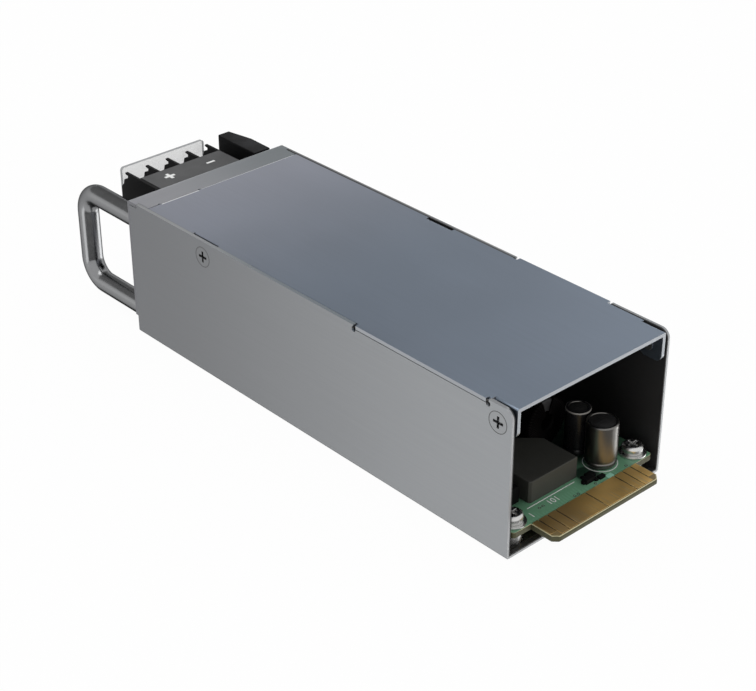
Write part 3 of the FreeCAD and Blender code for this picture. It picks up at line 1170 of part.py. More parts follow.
def heatsink(side, run, transistors):
    """Extruded plate with upright ribs on its outer side."""
    start, length = run
    face = SINK_FACE
    low = BOARD_TOP
    plate_x = sorted((side * face, side * (face + HEATSINK)))
    body = block(plate_x, (start, start + length), (low, low + HEATSINK_HEIGHT))
    ribs = []
    for index in range(HEATSINK_FINS):
        y = start + (length - HEATSINK_FIN) * index / (HEATSINK_FINS - 1)
        rib_x = sorted((side * face, side * (face + HEATSINK + HEATSINK_FIN_REACH)))
        ribs.append(block(rib_x, (y, y + HEATSINK_FIN), (low, low + HEATSINK_HEIGHT)))
    holes = [bar(Vector(side * face, y, transistor_hole_z()), X * side, THREAD_RADIUS, HEATSINK)
             for y in transistors]
    return joined(body, *ribs).cut(holes)


def primary_heatsink():
    """Heatsink of the input side."""
    return heatsink(*SINKS[0])


def secondary_heatsink():
    """Heatsink of the output side."""
    return heatsink(*SINKS[1])


def transistor_hole_z():
    """Height of the transistors' screws."""
    return BOARD_TOP + TRANSISTOR_LIFT + TRANSISTOR[1] * 0.8


def transistor_places():
    """Side of the case and Y of each transistor."""
    return [(side, y) for side, _, transistors in SINKS for y in transistors]


def power_transistors():
    """Flat-packed transistors against the heatsinks, each on three legs."""
    width, height, thickness = TRANSISTOR
    face = SINK_FACE
    pieces = []
    for side, y in transistor_places():
        bottom = BOARD_TOP + TRANSISTOR_LIFT
        x = sorted((side * face, side * (face - thickness)))
        body = block(x, (y - width / 2, y + width / 2), (bottom, bottom + height))
        middle = side * (face - thickness / 2)
        legs = [block((middle - 0.3, middle + 0.3), (y + step - 0.4, y + step + 0.4), (BOARD_TOP, bottom))
                for step in (-2.5, 0, 2.5)]
        hole = bar(Vector(side * (face - thickness), y, transistor_hole_z()), X * side, THREAD_RADIUS, thickness)
        pieces.append(joined(body, *legs).cut(hole))
    return Part.makeCompound(pieces)


def transistor_screws():
    """Screws that clamp the transistors to the heatsinks."""
    pieces = []
    for side, y in transistor_places():
        seat = Vector(side * (SINK_FACE - TRANSISTOR[2]), y, transistor_hole_z())
        pieces.append(pan_screw(seat, X * side, TRANSISTOR[2] + HEATSINK))
    return Part.makeCompound(pieces)


def ring_centre():
    """Middle of the upright output choke."""
    return Vector(RING_PLACE[0], RING_PLACE[1], BOARD_TOP + RING_CHOKE[1] + WINDING)


def output_choke_core():
    """Ring core standing on its edge."""
    return torus_core(ring_centre(), Y, *RING_CHOKE)


def output_choke_winding():
    """Single winding over most of the upright core."""
    return ring_winding(ring_centre(), Y, RING_CHOKE, RING_GAP / 2 - 90, 360 - RING_GAP)


def control_board():
    """Upright board with the control circuits."""
    return block((CONTROL_X, CONTROL_X + BOARD), CONTROL_Y, (BOARD_TOP + HEADER[1], BOARD_TOP + CONTROL_HEIGHT))


def control_header():
    """Row of pins in a plastic strip between the two boards."""
    low, high = CONTROL_Y
    strip = block((CONTROL_X + BOARD / 2 - HEADER[0] / 2, CONTROL_X + BOARD / 2 + HEADER[0] / 2),
                  (low + 2, high - 2), (BOARD_TOP, BOARD_TOP + HEADER[1]))
    return strip


def control_chips():
    """Flat chips on the inner face of the control board."""
    pieces = []
    for y, z, width, height in CHIPS:
        pieces.append(block((CONTROL_X - CHIP_DEPTH, CONTROL_X), (y - width / 2, y + width / 2),
                            (BOARD_TOP + z - height / 2, BOARD_TOP + z + height / 2)))
    return Part.makeCompound(pieces)


PIECES = (
    chassis, top_cover, front_panel, side_screws, floor_screws, handle, handle_screws, status_light,
    terminal_block, terminal_plates, terminal_screws, terminal_cover, terminal_fixings, input_links,
    input_wire_negative, input_wire_positive, latch_lever, latch_pin, latch_spring, latch_bracket, latch_rivets,
    fan_frame, fan_rotor, fan_shaft, fan_bearing, fan_stator, fan_bracket, fan_screws, fan_lead, fan_connector,
    main_board, card_contacts, board_standoffs, board_washers, board_screws, insulating_sheet, output_capacitor,
    tall_capacitor, filter_capacitors, output_inductor, small_parts, input_fuse, fuse_clips, film_capacitor,
    choke_core, choke_windings, transformer_core, transformer_bobbin, transformer_winding, primary_heatsink,
    secondary_heatsink, power_transistors, transistor_screws, output_choke_core, output_choke_winding,
    control_board, control_header, control_chips,
)

os.makedirs("parts", exist_ok=True)
for piece in PIECES:
    shape = piece()
    shape.exportStep(os.path.join("parts", piece.__name__ + ".step"))
    print(piece.__name__, len(shape.Solids), "solids", round(shape.Volume, 1), "mm3", "valid" if shape.isValid() else
          "INVALID")
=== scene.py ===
"""Looks of a hot swap power supply: folded steel case, bent handle, input terminals, release lever and card edge.
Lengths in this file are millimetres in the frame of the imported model; finished meshes are in metres."""
from __future__ import annotations

import json
import logging
import math
from dataclasses import dataclass
from enum import Enum
from typing import Any, Callable, Iterable, Mapping, Sequence, Union

import bmesh
import bpy
from mathutils import Matrix, Vector

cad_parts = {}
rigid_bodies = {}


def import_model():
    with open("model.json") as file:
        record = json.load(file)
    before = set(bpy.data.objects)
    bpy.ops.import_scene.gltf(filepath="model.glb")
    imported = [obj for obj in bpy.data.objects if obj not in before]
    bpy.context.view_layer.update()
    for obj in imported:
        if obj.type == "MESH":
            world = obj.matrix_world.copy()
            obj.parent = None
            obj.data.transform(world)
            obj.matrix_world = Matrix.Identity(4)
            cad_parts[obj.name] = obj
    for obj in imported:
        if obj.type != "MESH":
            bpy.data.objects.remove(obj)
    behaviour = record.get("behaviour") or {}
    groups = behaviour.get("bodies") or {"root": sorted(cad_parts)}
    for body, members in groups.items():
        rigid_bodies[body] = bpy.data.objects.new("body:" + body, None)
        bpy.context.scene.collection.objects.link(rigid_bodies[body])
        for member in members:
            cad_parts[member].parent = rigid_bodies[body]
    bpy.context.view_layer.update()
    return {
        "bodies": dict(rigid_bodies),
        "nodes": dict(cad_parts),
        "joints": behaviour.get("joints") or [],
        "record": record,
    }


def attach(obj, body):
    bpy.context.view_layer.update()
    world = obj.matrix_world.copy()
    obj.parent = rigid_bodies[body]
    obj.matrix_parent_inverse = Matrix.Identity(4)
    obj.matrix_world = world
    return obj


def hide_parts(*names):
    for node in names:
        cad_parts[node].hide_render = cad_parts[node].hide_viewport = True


LOG = logging.getLogger("power_supply")
METRES = 0.001
SHARP = math.radians(38.0)

Colour = tuple[float, float, float]
Point = tuple[float, float, float]
Pair = tuple[float, float]
Value = Union["Socket", float]
Profile = tuple[Pair, ...]
Rows = tuple[tuple[Any, ...], ...]

WHITE = (1.0, 1.0, 1.0, 1.0)


def turn_to(direction: Iterable[float]) -> Matrix:
    """Rotation that takes Z to a direction."""
    return Vector((0.0, 0.0, 1.0)).rotation_difference(Vector(direction)).to_matrix()


def verts_of(geometry: Iterable[Any]) -> list[bmesh.types.BMVert]:
    """The vertices among what an operator returned."""
    return [item for item in geometry if isinstance(item, bmesh.types.BMVert)]


def add_object(name: str, data: Any) -> bpy.types.Object:
    """Puts a new object with this data in the scene.

    Args:
        name: Its name.
        data: Its mesh, text, light or camera.

    Returns:
        The object.
    """
    made = bpy.data.objects.new(name, data)
    bpy.context.scene.collection.objects.link(made)
    return made


def add_mesh(name: str, mesh: bmesh.types.BMesh) -> bpy.types.Object:
    """Puts a new object made of a finished bmesh in the scene.

    Args:
        name: Its name.
        mesh: The bmesh, which ends here.

    Returns:
        The object.
    """
    data = bpy.data.meshes.new(name)
    mesh.to_mesh(data)
    mesh.free()
    return add_object(name, data)


class Axis(Enum):
    """Main directions that turned forms stand along."""

    X = (1.0, 0.0, 0.0)
    Y = (0.0, 1.0, 0.0)
    Z = (0.0, 0.0, 1.0)

    @property
    def vector(self) -> Vector:
        """Direction as a vector."""
        return Vector(self.value)

    @property
    def turn(self) -> Matrix:
        """Rotation that takes Z to this axis."""
        return turn_to(self.value)


class Grain(Enum):
    """Way the rolling or drawing lines of a metal run, as the scale of its pattern on each axis."""

    ALONG_X = (0.015, 1.0, 1.0)
    ALONG_Y = (1.0, 0.015, 1.0)
    ALONG_Z = (1.0, 1.0, 0.015)
    NONE = (1.0, 1.0, 1.0)


# ---------------------------------------------------------------------------------------------- shader building


def maths(operation: str, reflected: bool = False) -> Callable[..., Socket]:
    """Makes a method of Socket that adds one Math node.

    Args:
        operation: What the node works out.
        reflected: Whether the other value comes first.

    Returns:
        The method.
    """
    def method(self: Socket, *others: Value) -> Socket:
        """Adds the node for this value and the others."""
        values = (*others, self) if reflected else (self, *others)
        return self.graph.node("ShaderNodeMath", {"operation": operation}, values)

    return method


class Socket:
    """A socket's output, on which shader maths is written as Python expressions."""

    def __init__(self, graph: Graph, link: bpy.types.NodeSocket) -> None:
        """Wraps an output.

        Args:
            graph: The material's graph that the output belongs to.
            link: The output itself.
        """
        self.graph = graph
        self.link = link

    __add__ = maths("ADD")
    __radd__ = maths("ADD", reflected=True)
    __sub__ = maths("SUBTRACT")
    __rsub__ = maths("SUBTRACT", reflected=True)
    __mul__ = maths("MULTIPLY")
    __rmul__ = maths("MULTIPLY", reflected=True)
    __truediv__ = maths("DIVIDE")
    __abs__ = maths("ABSOLUTE")
    __gt__ = maths("GREATER_THAN")
    __lt__ = maths("LESS_THAN")
    highest = maths("MAXIMUM")
    wave = maths("SINE")
    fraction = maths("FRACT")

    def between(self, low: float, high: float) -> Socket:
        """Smooth step from 0 at the low value to 1 at the high one."""
        return self.graph.node("ShaderNodeMapRange", {"interpolation_type": "SMOOTHSTEP"},
                               {"Value": self, "From Min": low, "From Max": high})

    def span(self, ends: Pair) -> Socket:
        """Smooth step from 0 to 1 between two places that are given in millimetres."""
        return self.between(ends[0] * METRES, ends[1] * METRES)

    def above(self, place: float) -> Socket:
        """1 beyond a place that is given in millimetres, else 0."""
        return self > place * METRES

    def sway(self, reach: float) -> Socket:
        """A noise brought to swing about 0, by this much from end to end."""
        return (self - 0.5) * reach


class Graph:
    """The node tree of one material."""

    def __init__(self, name: str) -> None:
        """Starts an empty material.

        Args:
            name: What the material is called.
        """
        self.material = bpy.data.materials.new(name)
        self.material.use_nodes = True
        self.tree = self.material.node_tree
        self.tree.nodes.clear()

    def node(self, kind: str, settings: Mapping[str, Any] | None = None,
             inputs: Mapping[Any, Any] | Sequence[Any] = (), output: Union[int, str] = 0) -> Socket:
        """Adds a node.

        Args:
            kind: Blender's name of the node's type.
            settings: Properties that are set first.
            inputs: Values or links of its sockets, by name, number or order.
            output: Which output is wanted.

        Returns:
            The wrapped output.
        """
        made = self.tree.nodes.new(kind)
        for key, value in (settings or {}).items():
            setattr(made, key, value)
        for key, value in inputs.items() if isinstance(inputs, Mapping) else enumerate(inputs):
            socket = made.inputs[key]
            if isinstance(value, Socket):
                self.tree.links.new(value.link, socket)
            else:
                socket.default_value = value
        return Socket(self, made.outputs[output])

    def place(self) -> Socket:
        """Object coordinates, in metres."""
        return self.node("ShaderNodeTexCoord", output="Object")

    def parts(self, vector: Socket) -> tuple[Socket, Socket, Socket]:
        """X, Y and Z of a vector.

        Args:
            vector: The vector.

        Returns:
            Its three values.
        """
        first = self.node("ShaderNodeSeparateXYZ", None, [vector])
        outputs = first.link.node.outputs
        return first, Socket(self, outputs[1]), Socket(self, outputs[2])

    def facing(self) -> tuple[Socket, Socket, Socket]:
        """X, Y and Z of the surface's direction."""
        return self.parts(self.node("ShaderNodeTexCoord", output="Normal"))

    def noise(self, per_metre: float, grain: Grain = Grain.NONE, detail: float = 2.0) -> Socket:
        """Noise on the piece's own coordinates, from about 0.2 to 0.8.

        Args:
            per_metre: Its scale.
            grain: Which way it is drawn out.
            detail: How finely it is divided.

        Returns:
            Its value.
        """
        where = self.node("ShaderNodeMapping", None, {"Vector": self.place(), "Scale": grain.value})
        return self.node("ShaderNodeTexNoise", None,
                         {"Vector": where, "Scale": per_metre, "Detail": detail, "Roughness": 0.55})

    def clouds(self, per_metre: float) -> Socket:
        """Finely divided noise that has no grain."""
        return self.noise(per_metre, detail=4.0)

    def blend(self, factor: Value, first: Any, second: Any) -> Socket:
        """Colour between two colours."""
        first, second = ((*c, 1.0) if isinstance(c, tuple) else c for c in (first, second))
        return self.node("ShaderNodeMix", {"data_type": "RGBA"}, {0: factor, 6: first, 7: second}, 2)

    def shade(self, colour: Colour, spread: float, factor: Value) -> Socket:
        """A colour that varies a little both ways."""
        return self.blend(factor, tuple(c * (1 - spread) for c in colour),
                          tuple(min(1.0, c * (1 + spread)) for c in colour))

    def bump(self, height: Socket, depth: float, strength: float) -> Socket:
        """Normal of a surface whose height varies; the depth is in millimetres."""
        return self.node("ShaderNodeBump", None,
                         {"Height": height, "Distance": depth * METRES, "Strength": strength})

    def surface(self, channels: Mapping[str, Any]) -> bpy.types.Material:
        """Ends the tree in one principled surface.

        Args:
            channels: Values or links of its sockets, by name.

        Returns:
            The finished material.
        """
        ready = {key: (*value, 1.0) if isinstance(value, tuple) else value for key, value in channels.items()}
        self.node_output(self.node("ShaderNodeBsdfPrincipled", None, ready))
        return self.material

    def node_output(self, shader: Socket) -> None:
        """Sends a shader to the material's output."""
        end = self.tree.nodes.new("ShaderNodeOutputMaterial")
        self.tree.links.new(shader.link, end.inputs["Surface"])


# ---------------------------------------------------------------------------------------------------- finishes


@dataclass(frozen=True)
class PlatedSheet:
    """Zinc-plated or coated steel sheet with fine rolling lines and faint handling marks.

    In every finish, spread is how far its colour varies, uneven how far its roughness does, and relief the depth of
    its bumps in millimetres and their strength."""

    colour: Colour
    roughness: float = 0.42
    grain: Grain = Grain.ALONG_Y
    spread: float = 0.12
    cut_edge_and_painted_side: Colour | None = None
    side_tone_share: float = 0.8
    squarely: float = 0.8
    laps: float = 0.0
    painted_shade_inside: float = 0.0
    painted_shade_z: Pair = (0.6, 39.9)
    painted_gradient_end: Colour | None = None
    fade: Pair = (-80.0, 70.0)
    fade_across: bool = False
    painted_top_light: Colour | None = None
    painted_top_light_far: Colour = (0.265, 0.30, 0.33)
    painted_top_light_fade: Pair = (-50.0, -5.0)
    painted_top_light_y: float = 20.0
    painted_top_light_x: float = 25.2
    painted_top_light_up: float = 0.25
    rim: Colour | None = None
    rim_tilt: Pair = (0.2, 0.95)
    film: Colour = (0.004, 0.004, 0.0042)
    painted_shade_mouth: Colour = (0.017, 0.017, 0.0175)
    painted_shade_spread: float = 0.3
    painted_shade_fade: Pair = (48.0, 70.0)
    painted_shade_rough: float = 0.12
    line_scale: float = 1800.0
    line_share: float = 0.55
    cloud_scale: float = 26.0
    uneven: Pair = (0.16, 0.10)
    relief: Pair = (0.012, 0.5)

    def build(self, name: str) -> bpy.types.Material:
        """Makes the material: bare cut edges lighter, with painted light and shade on some sides, a painted gradient
        along the sheet, painted light on the wall's top by the open end, and painted shade inside the tray.

        Args:
            name: What the material is called.

        Returns:
            The material.
        """
        graph = Graph(name)
        lines = graph.noise(self.line_scale, self.grain)
        clouds = graph.clouds(self.cloud_scale)
        mottle = lines * self.line_share + clouds * (1 - self.line_share)
        x, y, z = graph.parts(graph.place())
        base = graph.shade(self.colour, self.spread, mottle)
        # Painted light and shade: towards painted_gradient_end the colour runs along Y, or along X where fade_across
        # is set, standing in for light that falls off along the case.
        if self.painted_gradient_end:
            way = x if self.fade_across else y
            base = graph.blend(way.span(self.fade), graph.shade(self.painted_gradient_end, self.spread, mottle), base)
        rough = self.roughness + clouds.sway(self.uneven[0]) + lines.sway(self.uneven[1])
        metal: Value = 1.0
        across, along, up = graph.facing()
        # Faces that face +Y take this colour, and with laps set so do sideways faces beyond that distance: partly the
        # bare cut edge, partly painted light on the case and cover and painted shade on the end panel.
        if self.cut_edge_and_painted_side:
            edges = along > self.squarely
            if self.laps:
                edges = edges.highest((abs(across) > self.squarely) * abs(x).above(self.laps))
            base = graph.blend(edges * self.side_tone_share, base, self.cut_edge_and_painted_side)
        # Painted light: upward faces of the side wall's top near the open end are painted lighter, fading along Y.
        if self.painted_top_light:
            top = (up > self.painted_top_light_up) * (y < self.painted_top_light_y * METRES) * x.above(self.painted_top_light_x)
            base = graph.blend(top, base, graph.blend(y.span(self.painted_top_light_fade), self.painted_top_light, self.painted_top_light_far))
        if self.rim:
            least, most = self.rim_tilt
            base = graph.blend((abs(across) > least) * (abs(across) < most), base, self.rim)
        # Painted shade: inside the tray the sheet is painted near black where it lies in shade, and painted lighter
        # towards the open end.
        if self.painted_shade_inside:
            floor, top_face = self.painted_shade_z
            bare = x.above(0.0) * z.above(top_face)
            inside = (abs(x) < self.painted_shade_inside * METRES) * z.above(floor) * (1 - bare)
            film = graph.blend(y.span(self.painted_shade_fade), graph.shade(self.film, self.painted_shade_spread, clouds),
                               graph.shade(self.painted_shade_mouth, self.painted_shade_spread, clouds))
            base = graph.blend(inside, base, film)
            metal = 1 - inside
            rough = rough + inside * self.painted_shade_rough
        return graph.surface({"Base Color": base, "Metallic": metal, "Roughness": rough,
                              "Normal": graph.bump(lines, *self.relief)})


@dataclass(frozen=True)
class TurnedMetal:
    """Solid metal, drawn, turned or cast, from polished to satin."""

    colour: Colour
    roughness: float = 0.2
    grain: Grain = Grain.NONE
    stain: Colour = (0.3, 0.28, 0.25)
    staining: float = 0.15
    edge_tint: float = 1.0
    line_scale: float = 700.0
    cloud_scale: float = 90.0
    spread: float = 0.06
    patches: Pair = (0.52, 0.78)
    uneven: Pair = (0.12, 0.08)
    relief: Pair = (0.01, 0.35)

    def build(self, name: str) -> bpy.types.Material:
        """Makes the material, a little stained and scuffed.

        Args:
            name: What the material is called.

        Returns:
            The material.
        """
        graph = Graph(name)
        lines = graph.noise(self.line_scale, self.grain, 3.0)
        clouds = graph.clouds(self.cloud_scale)
        clean = graph.shade(self.colour, self.spread, lines)
        base = graph.blend(clouds.between(*self.patches) * self.staining, clean, self.stain)
        rough = self.roughness + clouds.sway(self.uneven[0]) + lines.sway(self.uneven[1])
        return graph.surface({"Base Color": base, "Metallic": 1.0, "Roughness": rough,
                              "Specular Tint": (self.edge_tint,) * 3, "Normal": graph.bump(lines, *self.relief)})


@dataclass(frozen=True)
class MouldedPlastic:
    """Moulded plastic or rubber with a fine eroded grain and a lighter tone on what faces up: dust, and on the
    release lever mostly painted light.
    """

    colour: Colour
    roughness: float = 0.5
    grain_depth: float = 0.02
    dust_and_light: float = 0.12
    spread: float = 0.18
    dust_and_light_colour: Colour = (0.22, 0.22, 0.22)
    sheen: float = 0.5
    pore_scale: float = 4200.0
    cloud_scale: float = 120.0
    dust_and_light_up: Pair = (0.3, 1.0)
    dust_and_light_patches: Pair = (0.35, 0.75)
    dust_and_light_rough: float = 0.3
    uneven: float = 0.2
    grain_strength: float = 0.7

    def build(self, name: str) -> bpy.types.Material:
        """Makes the material.

        Args:
            name: What the material is called.

        Returns:
            The material.
        """
        graph = Graph(name)
        pores = graph.noise(self.pore_scale)
        clouds = graph.clouds(self.cloud_scale)
        _, _, up = graph.facing()
        # Upward faces go towards dust_and_light_colour in patches: dust, and on the release lever mostly painted
        # light on its top.
        dusty_and_lit = up.between(*self.dust_and_light_up) * clouds.between(*self.dust_and_light_patches) * self.dust_and_light
        base = graph.blend(dusty_and_lit, graph.shade(self.colour, self.spread, clouds), self.dust_and_light_colour)
        rough = self.roughness + pores.sway(self.uneven) + dusty_and_lit * self.dust_and_light_rough
        return graph.surface({"Base Color": base, "Roughness": rough, "Specular IOR Level": self.sheen,
                              "Normal": graph.bump(pores, self.grain_depth, self.grain_strength)})


@dataclass(frozen=True)
class ClearPlastic:
    """Clear sheet: seen through face on, brighter and denser towards its edges."""

    colour: Colour = (0.62, 0.63, 0.64)
    rim: Colour = (0.30, 0.31, 0.32)
    face_on: float = 0.16
    edge_on: float = 0.55
    rim_alpha: float = 0.9
    index: float = 1.49
    smear_scale: float = 160.0
    smear_patches: Pair = (0.5, 0.8)
    smear_alpha: float = 0.04
    glancing: float = 0.35
    broadside: float = 0.9

    def build(self, name: str) -> bpy.types.Material:
        """Makes the material.

        Args:
            name: What the material is called.

        Returns:
            The material.
        """
        graph = Graph(name)
        smears = graph.clouds(self.smear_scale)
        glancing = graph.node("ShaderNodeLayerWeight", None, {"Blend": self.glancing}, "Facing")
        _, along, _ = graph.facing()
        rim = abs(along) < self.broadside
        smeared = smears.between(*self.smear_patches) * self.smear_alpha
        face = self.face_on + glancing * (self.edge_on - self.face_on) + smeared
        return graph.surface({"Base Color": graph.blend(rim, graph.shade(self.colour, 0.05, smears), self.rim),
                              "Alpha": face + rim * (self.rim_alpha - face),
                              "Roughness": 0.07 + smears * 0.08, "IOR": self.index})


@dataclass(frozen=True)
class BoardMask:
    """Green solder mask over copper tracks, with the brown-green laminate bare on its edges, painted shade on the
    board deep inside and a round painted shadow by the silver can.
    """

    mask: Colour = (0.142, 0.326, 0.197)
    track: Colour = (0.165, 0.368, 0.232)
    painted_board_shade: Colour = (0.006, 0.022, 0.013)
    painted_board_shade_y: Pair = (58.0, 68.0)
    painted_shadow_spot: tuple[float, float, float, float] = (-6.2, 66.2, 3.4, 2.6)
    laminate: Colour = (0.055, 0.053, 0.022)
    trimmed: Colour = (0.52, 0.48, 0.30)
    tongue: Colour = (0.040, 0.032, 0.016)
    tongue_y: float = 71.4
    lip: Colour = (0.21, 0.155, 0.070)
    lip_y: float = 76.85
    front_y: float = 79.02
    trim_z: float = 5.87
    rim_centre: float = 0.1
    rim_half: float = 18.02
    rim_corner: float = 95.42
    level: float = 0.97
    tilted: float = 0.3
    shadow_spot_share: float = 0.92
    block_scale: float = 160.0
    dot_scale: float = 330.0
    bars_per_metre: float = 1100.0
    cloud_scale: float = 70.0
    weave_scale: float = 2600.0
    relief: Pair = (0.02, 0.6)

    def build(self, name: str) -> bpy.types.Material:
        """Makes the material.

        Args:
            name: What the material is called.

        Returns:
            The material.
        """
        graph = Graph(name)
        x, y, z = graph.parts(graph.place())
        _, _, up = graph.facing()
        blocks = graph.node("ShaderNodeTexVoronoi", {"distance": "CHEBYCHEV"},
                            {"Vector": graph.place(), "Scale": self.block_scale, "Randomness": 0.85})
        bars = ((x * self.bars_per_metre + (y * 240.0).wave() * 0.8).fraction() > 0.55) * (blocks > 0.42)
        dots = graph.node("ShaderNodeTexVoronoi", None, {"Vector": graph.place(), "Scale": self.dot_scale})
        vias = (dots < 0.10) * (blocks < 0.40)
        clouds = graph.clouds(self.cloud_scale)
        green = graph.blend(bars.highest(vias * 0.8), graph.shade(self.mask, 0.10, clouds),
                            graph.shade(self.track, 0.10, clouds))
        flat = abs(up) > self.level
        weave = graph.noise(self.weave_scale)
        # Painted shade: the mask goes near black towards the back of the case, and a round painted shadow lies by the
        # silver can's foot.
        front = y.span(self.painted_board_shade_y)
        spot_x, spot_y, reach, soft = self.painted_shadow_spot
        across = (x - spot_x * METRES) / METRES
        along = (y - spot_y * METRES) / METRES
        in_shadow_spot = 1 - (across * across + along * along).between(soft * soft, reach * reach)
        unshaded = front * (1 - in_shadow_spot * self.shadow_spot_share)
        green = graph.blend(unshaded, graph.shade(self.painted_board_shade, 0.3, clouds), green)
        for start, tone in ((self.tongue_y, self.tongue), (self.lip_y, self.lip)):
            green = graph.blend(y.above(start), green, graph.shade(tone, 0.2, weave))
        bare = graph.shade(self.laminate, 0.22, weave)
        trim = ((up > self.tilted) * (1 - flat) * z.above(self.trim_z)).highest(flat * y.above(self.front_y))
        inset = abs(x - self.rim_centre * METRES)
        rim = inset.above(self.rim_half).highest((inset + y).above(self.rim_corner))
        trim = trim.highest(rim * flat * y.above(self.tongue_y))
        base = graph.blend(trim, graph.blend(flat, bare, green), graph.shade(self.trimmed, 0.15, weave))
        return graph.surface({"Base Color": base, "Roughness": 0.62 - flat * 0.24 + clouds.sway(0.12),
                              "Coat Weight": flat * 0.15, "Coat Roughness": 0.25,
                              "Normal": graph.bump(bars * 0.6 + weave * (1 - flat), *self.relief)})


@dataclass(frozen=True)
class ContactGold:
    """Gold plating on card-edge contacts, wiped where the receptacle's springs slide."""

    colour: Colour = (0.84, 0.56, 0.20)
    painted_dim_gold: Colour = (0.60, 0.40, 0.16)
    painted_dim_x: Pair = (3.0, 9.0)
    spread: float = 0.16
    nickel: Colour = (0.46, 0.40, 0.28)
    wiped_y: Pair = (74.2, 76.0)
    wear: float = 0.35
    roughness: float = 0.47
    scratch_scale: float = 3000.0
    scratches: Pair = (0.5, 0.62)
    cloud_scale: float = 110.0
    relief: Pair = (0.006, 0.5)

    def build(self, name: str) -> bpy.types.Material:
        """Makes the material.

        Args:
            name: What the material is called.

        Returns:
            The material.
        """
        graph = Graph(name)
        lines = graph.noise(self.scratch_scale, Grain.ALONG_Y)
        clouds = graph.clouds(self.cloud_scale)
        x, y, _ = graph.parts(graph.place())
        wiped = y.span(self.wiped_y) * lines.between(*self.scratches) * self.wear
        # Painted reflection: the contacts are painted brighter towards -X and dimmer past painted_dim_x, standing in
        # for a warm reflection.
        plated = graph.blend(x.span(self.painted_dim_x), graph.shade(self.colour, self.spread, clouds),
                             graph.shade(self.painted_dim_gold, self.spread, clouds))
        base = graph.blend(wiped, plated, self.nickel)
        return graph.surface({"Base Color": base, "Metallic": 1.0,
                              "Roughness": self.roughness + clouds.sway(0.18) + wiped * 0.15,
                              "Normal": graph.bump(lines, *self.relief)})


@dataclass(frozen=True)
class WoundWire:
    """Enamelled copper wire, varnished unevenly."""

    colour: Colour = (0.52, 0.22, 0.07)
    dark: Colour = (0.16, 0.06, 0.02)
    roughness: float = 0.26
    varnish: float = 0.5
    cloud_scale: float = 420.0
    patches: Pair = (0.35, 0.75)

    def build(self, name: str) -> bpy.types.Material:
        """Makes the material.

        Args:
            name: What the material is called.

        Returns:
            The material.
        """
        graph = Graph(name)
        clouds = graph.noise(self.cloud_scale, detail=3.0)
        return graph.surface({"Base Color": graph.blend(clouds.between(*self.patches), self.colour, self.dark),
                              "Metallic": 0.85, "Roughness": self.roughness + clouds.sway(0.2),
                              "Coat Weight": self.varnish, "Coat Roughness": 0.12})


@dataclass(frozen=True)
class Sintered:
    """Ferrite or ceramic: matt, with fine pits."""

    colour: Colour
    roughness: float = 0.55
    pit_scale: float = 2400.0
    cloud_scale: float = 200.0
    relief: Pair = (0.03, 0.6)

    def build(self, name: str) -> bpy.types.Material:
        """Makes the material.

        Args:
            name: What the material is called.

        Returns:
            The material.
        """
        graph = Graph(name)
        pits = graph.clouds(self.pit_scale)
        clouds = graph.noise(self.cloud_scale)
        return graph.surface({"Base Color": graph.shade(self.colour, 0.2, clouds * 0.5 + pits * 0.5),
                              "Roughness": self.roughness + pits.sway(0.25),
                              "Normal": graph.bump(pits, *self.relief)})


@dataclass(frozen=True)
class LayeredTape:
    """Film tape wound in layers whose edges show as faint lines across the winding."""

    colour: Colour = (0.60, 0.42, 0.03)
    lap: Colour = (0.30, 0.19, 0.02)

    def build(self, name: str) -> bpy.types.Material:
        """Makes the material.

        Args:
            name: What the material is called.

        Returns:
            The material.
        """
        graph = Graph(name)
        x, y, _ = graph.parts(graph.place())
        clouds = graph.noise(150.0, detail=3.0)
        laps = (x * 620.0 + (y * 150.0).wave() * 0.2 + clouds * 0.3).fraction().between(0.82, 0.95)
        base = graph.blend(laps * 0.5, graph.shade(self.colour, 0.1, clouds), self.lap)
        return graph.surface({"Base Color": base, "Roughness": 0.3 + clouds * 0.12,
                              "Normal": graph.bump(laps, 0.05, 0.6)})


Finish = Union[PlatedSheet, TurnedMetal, MouldedPlastic, ClearPlastic, BoardMask, ContactGold, WoundWire, Sintered,
               LayeredTape]

BLACK: Colour = (0.0035, 0.0035, 0.0038)

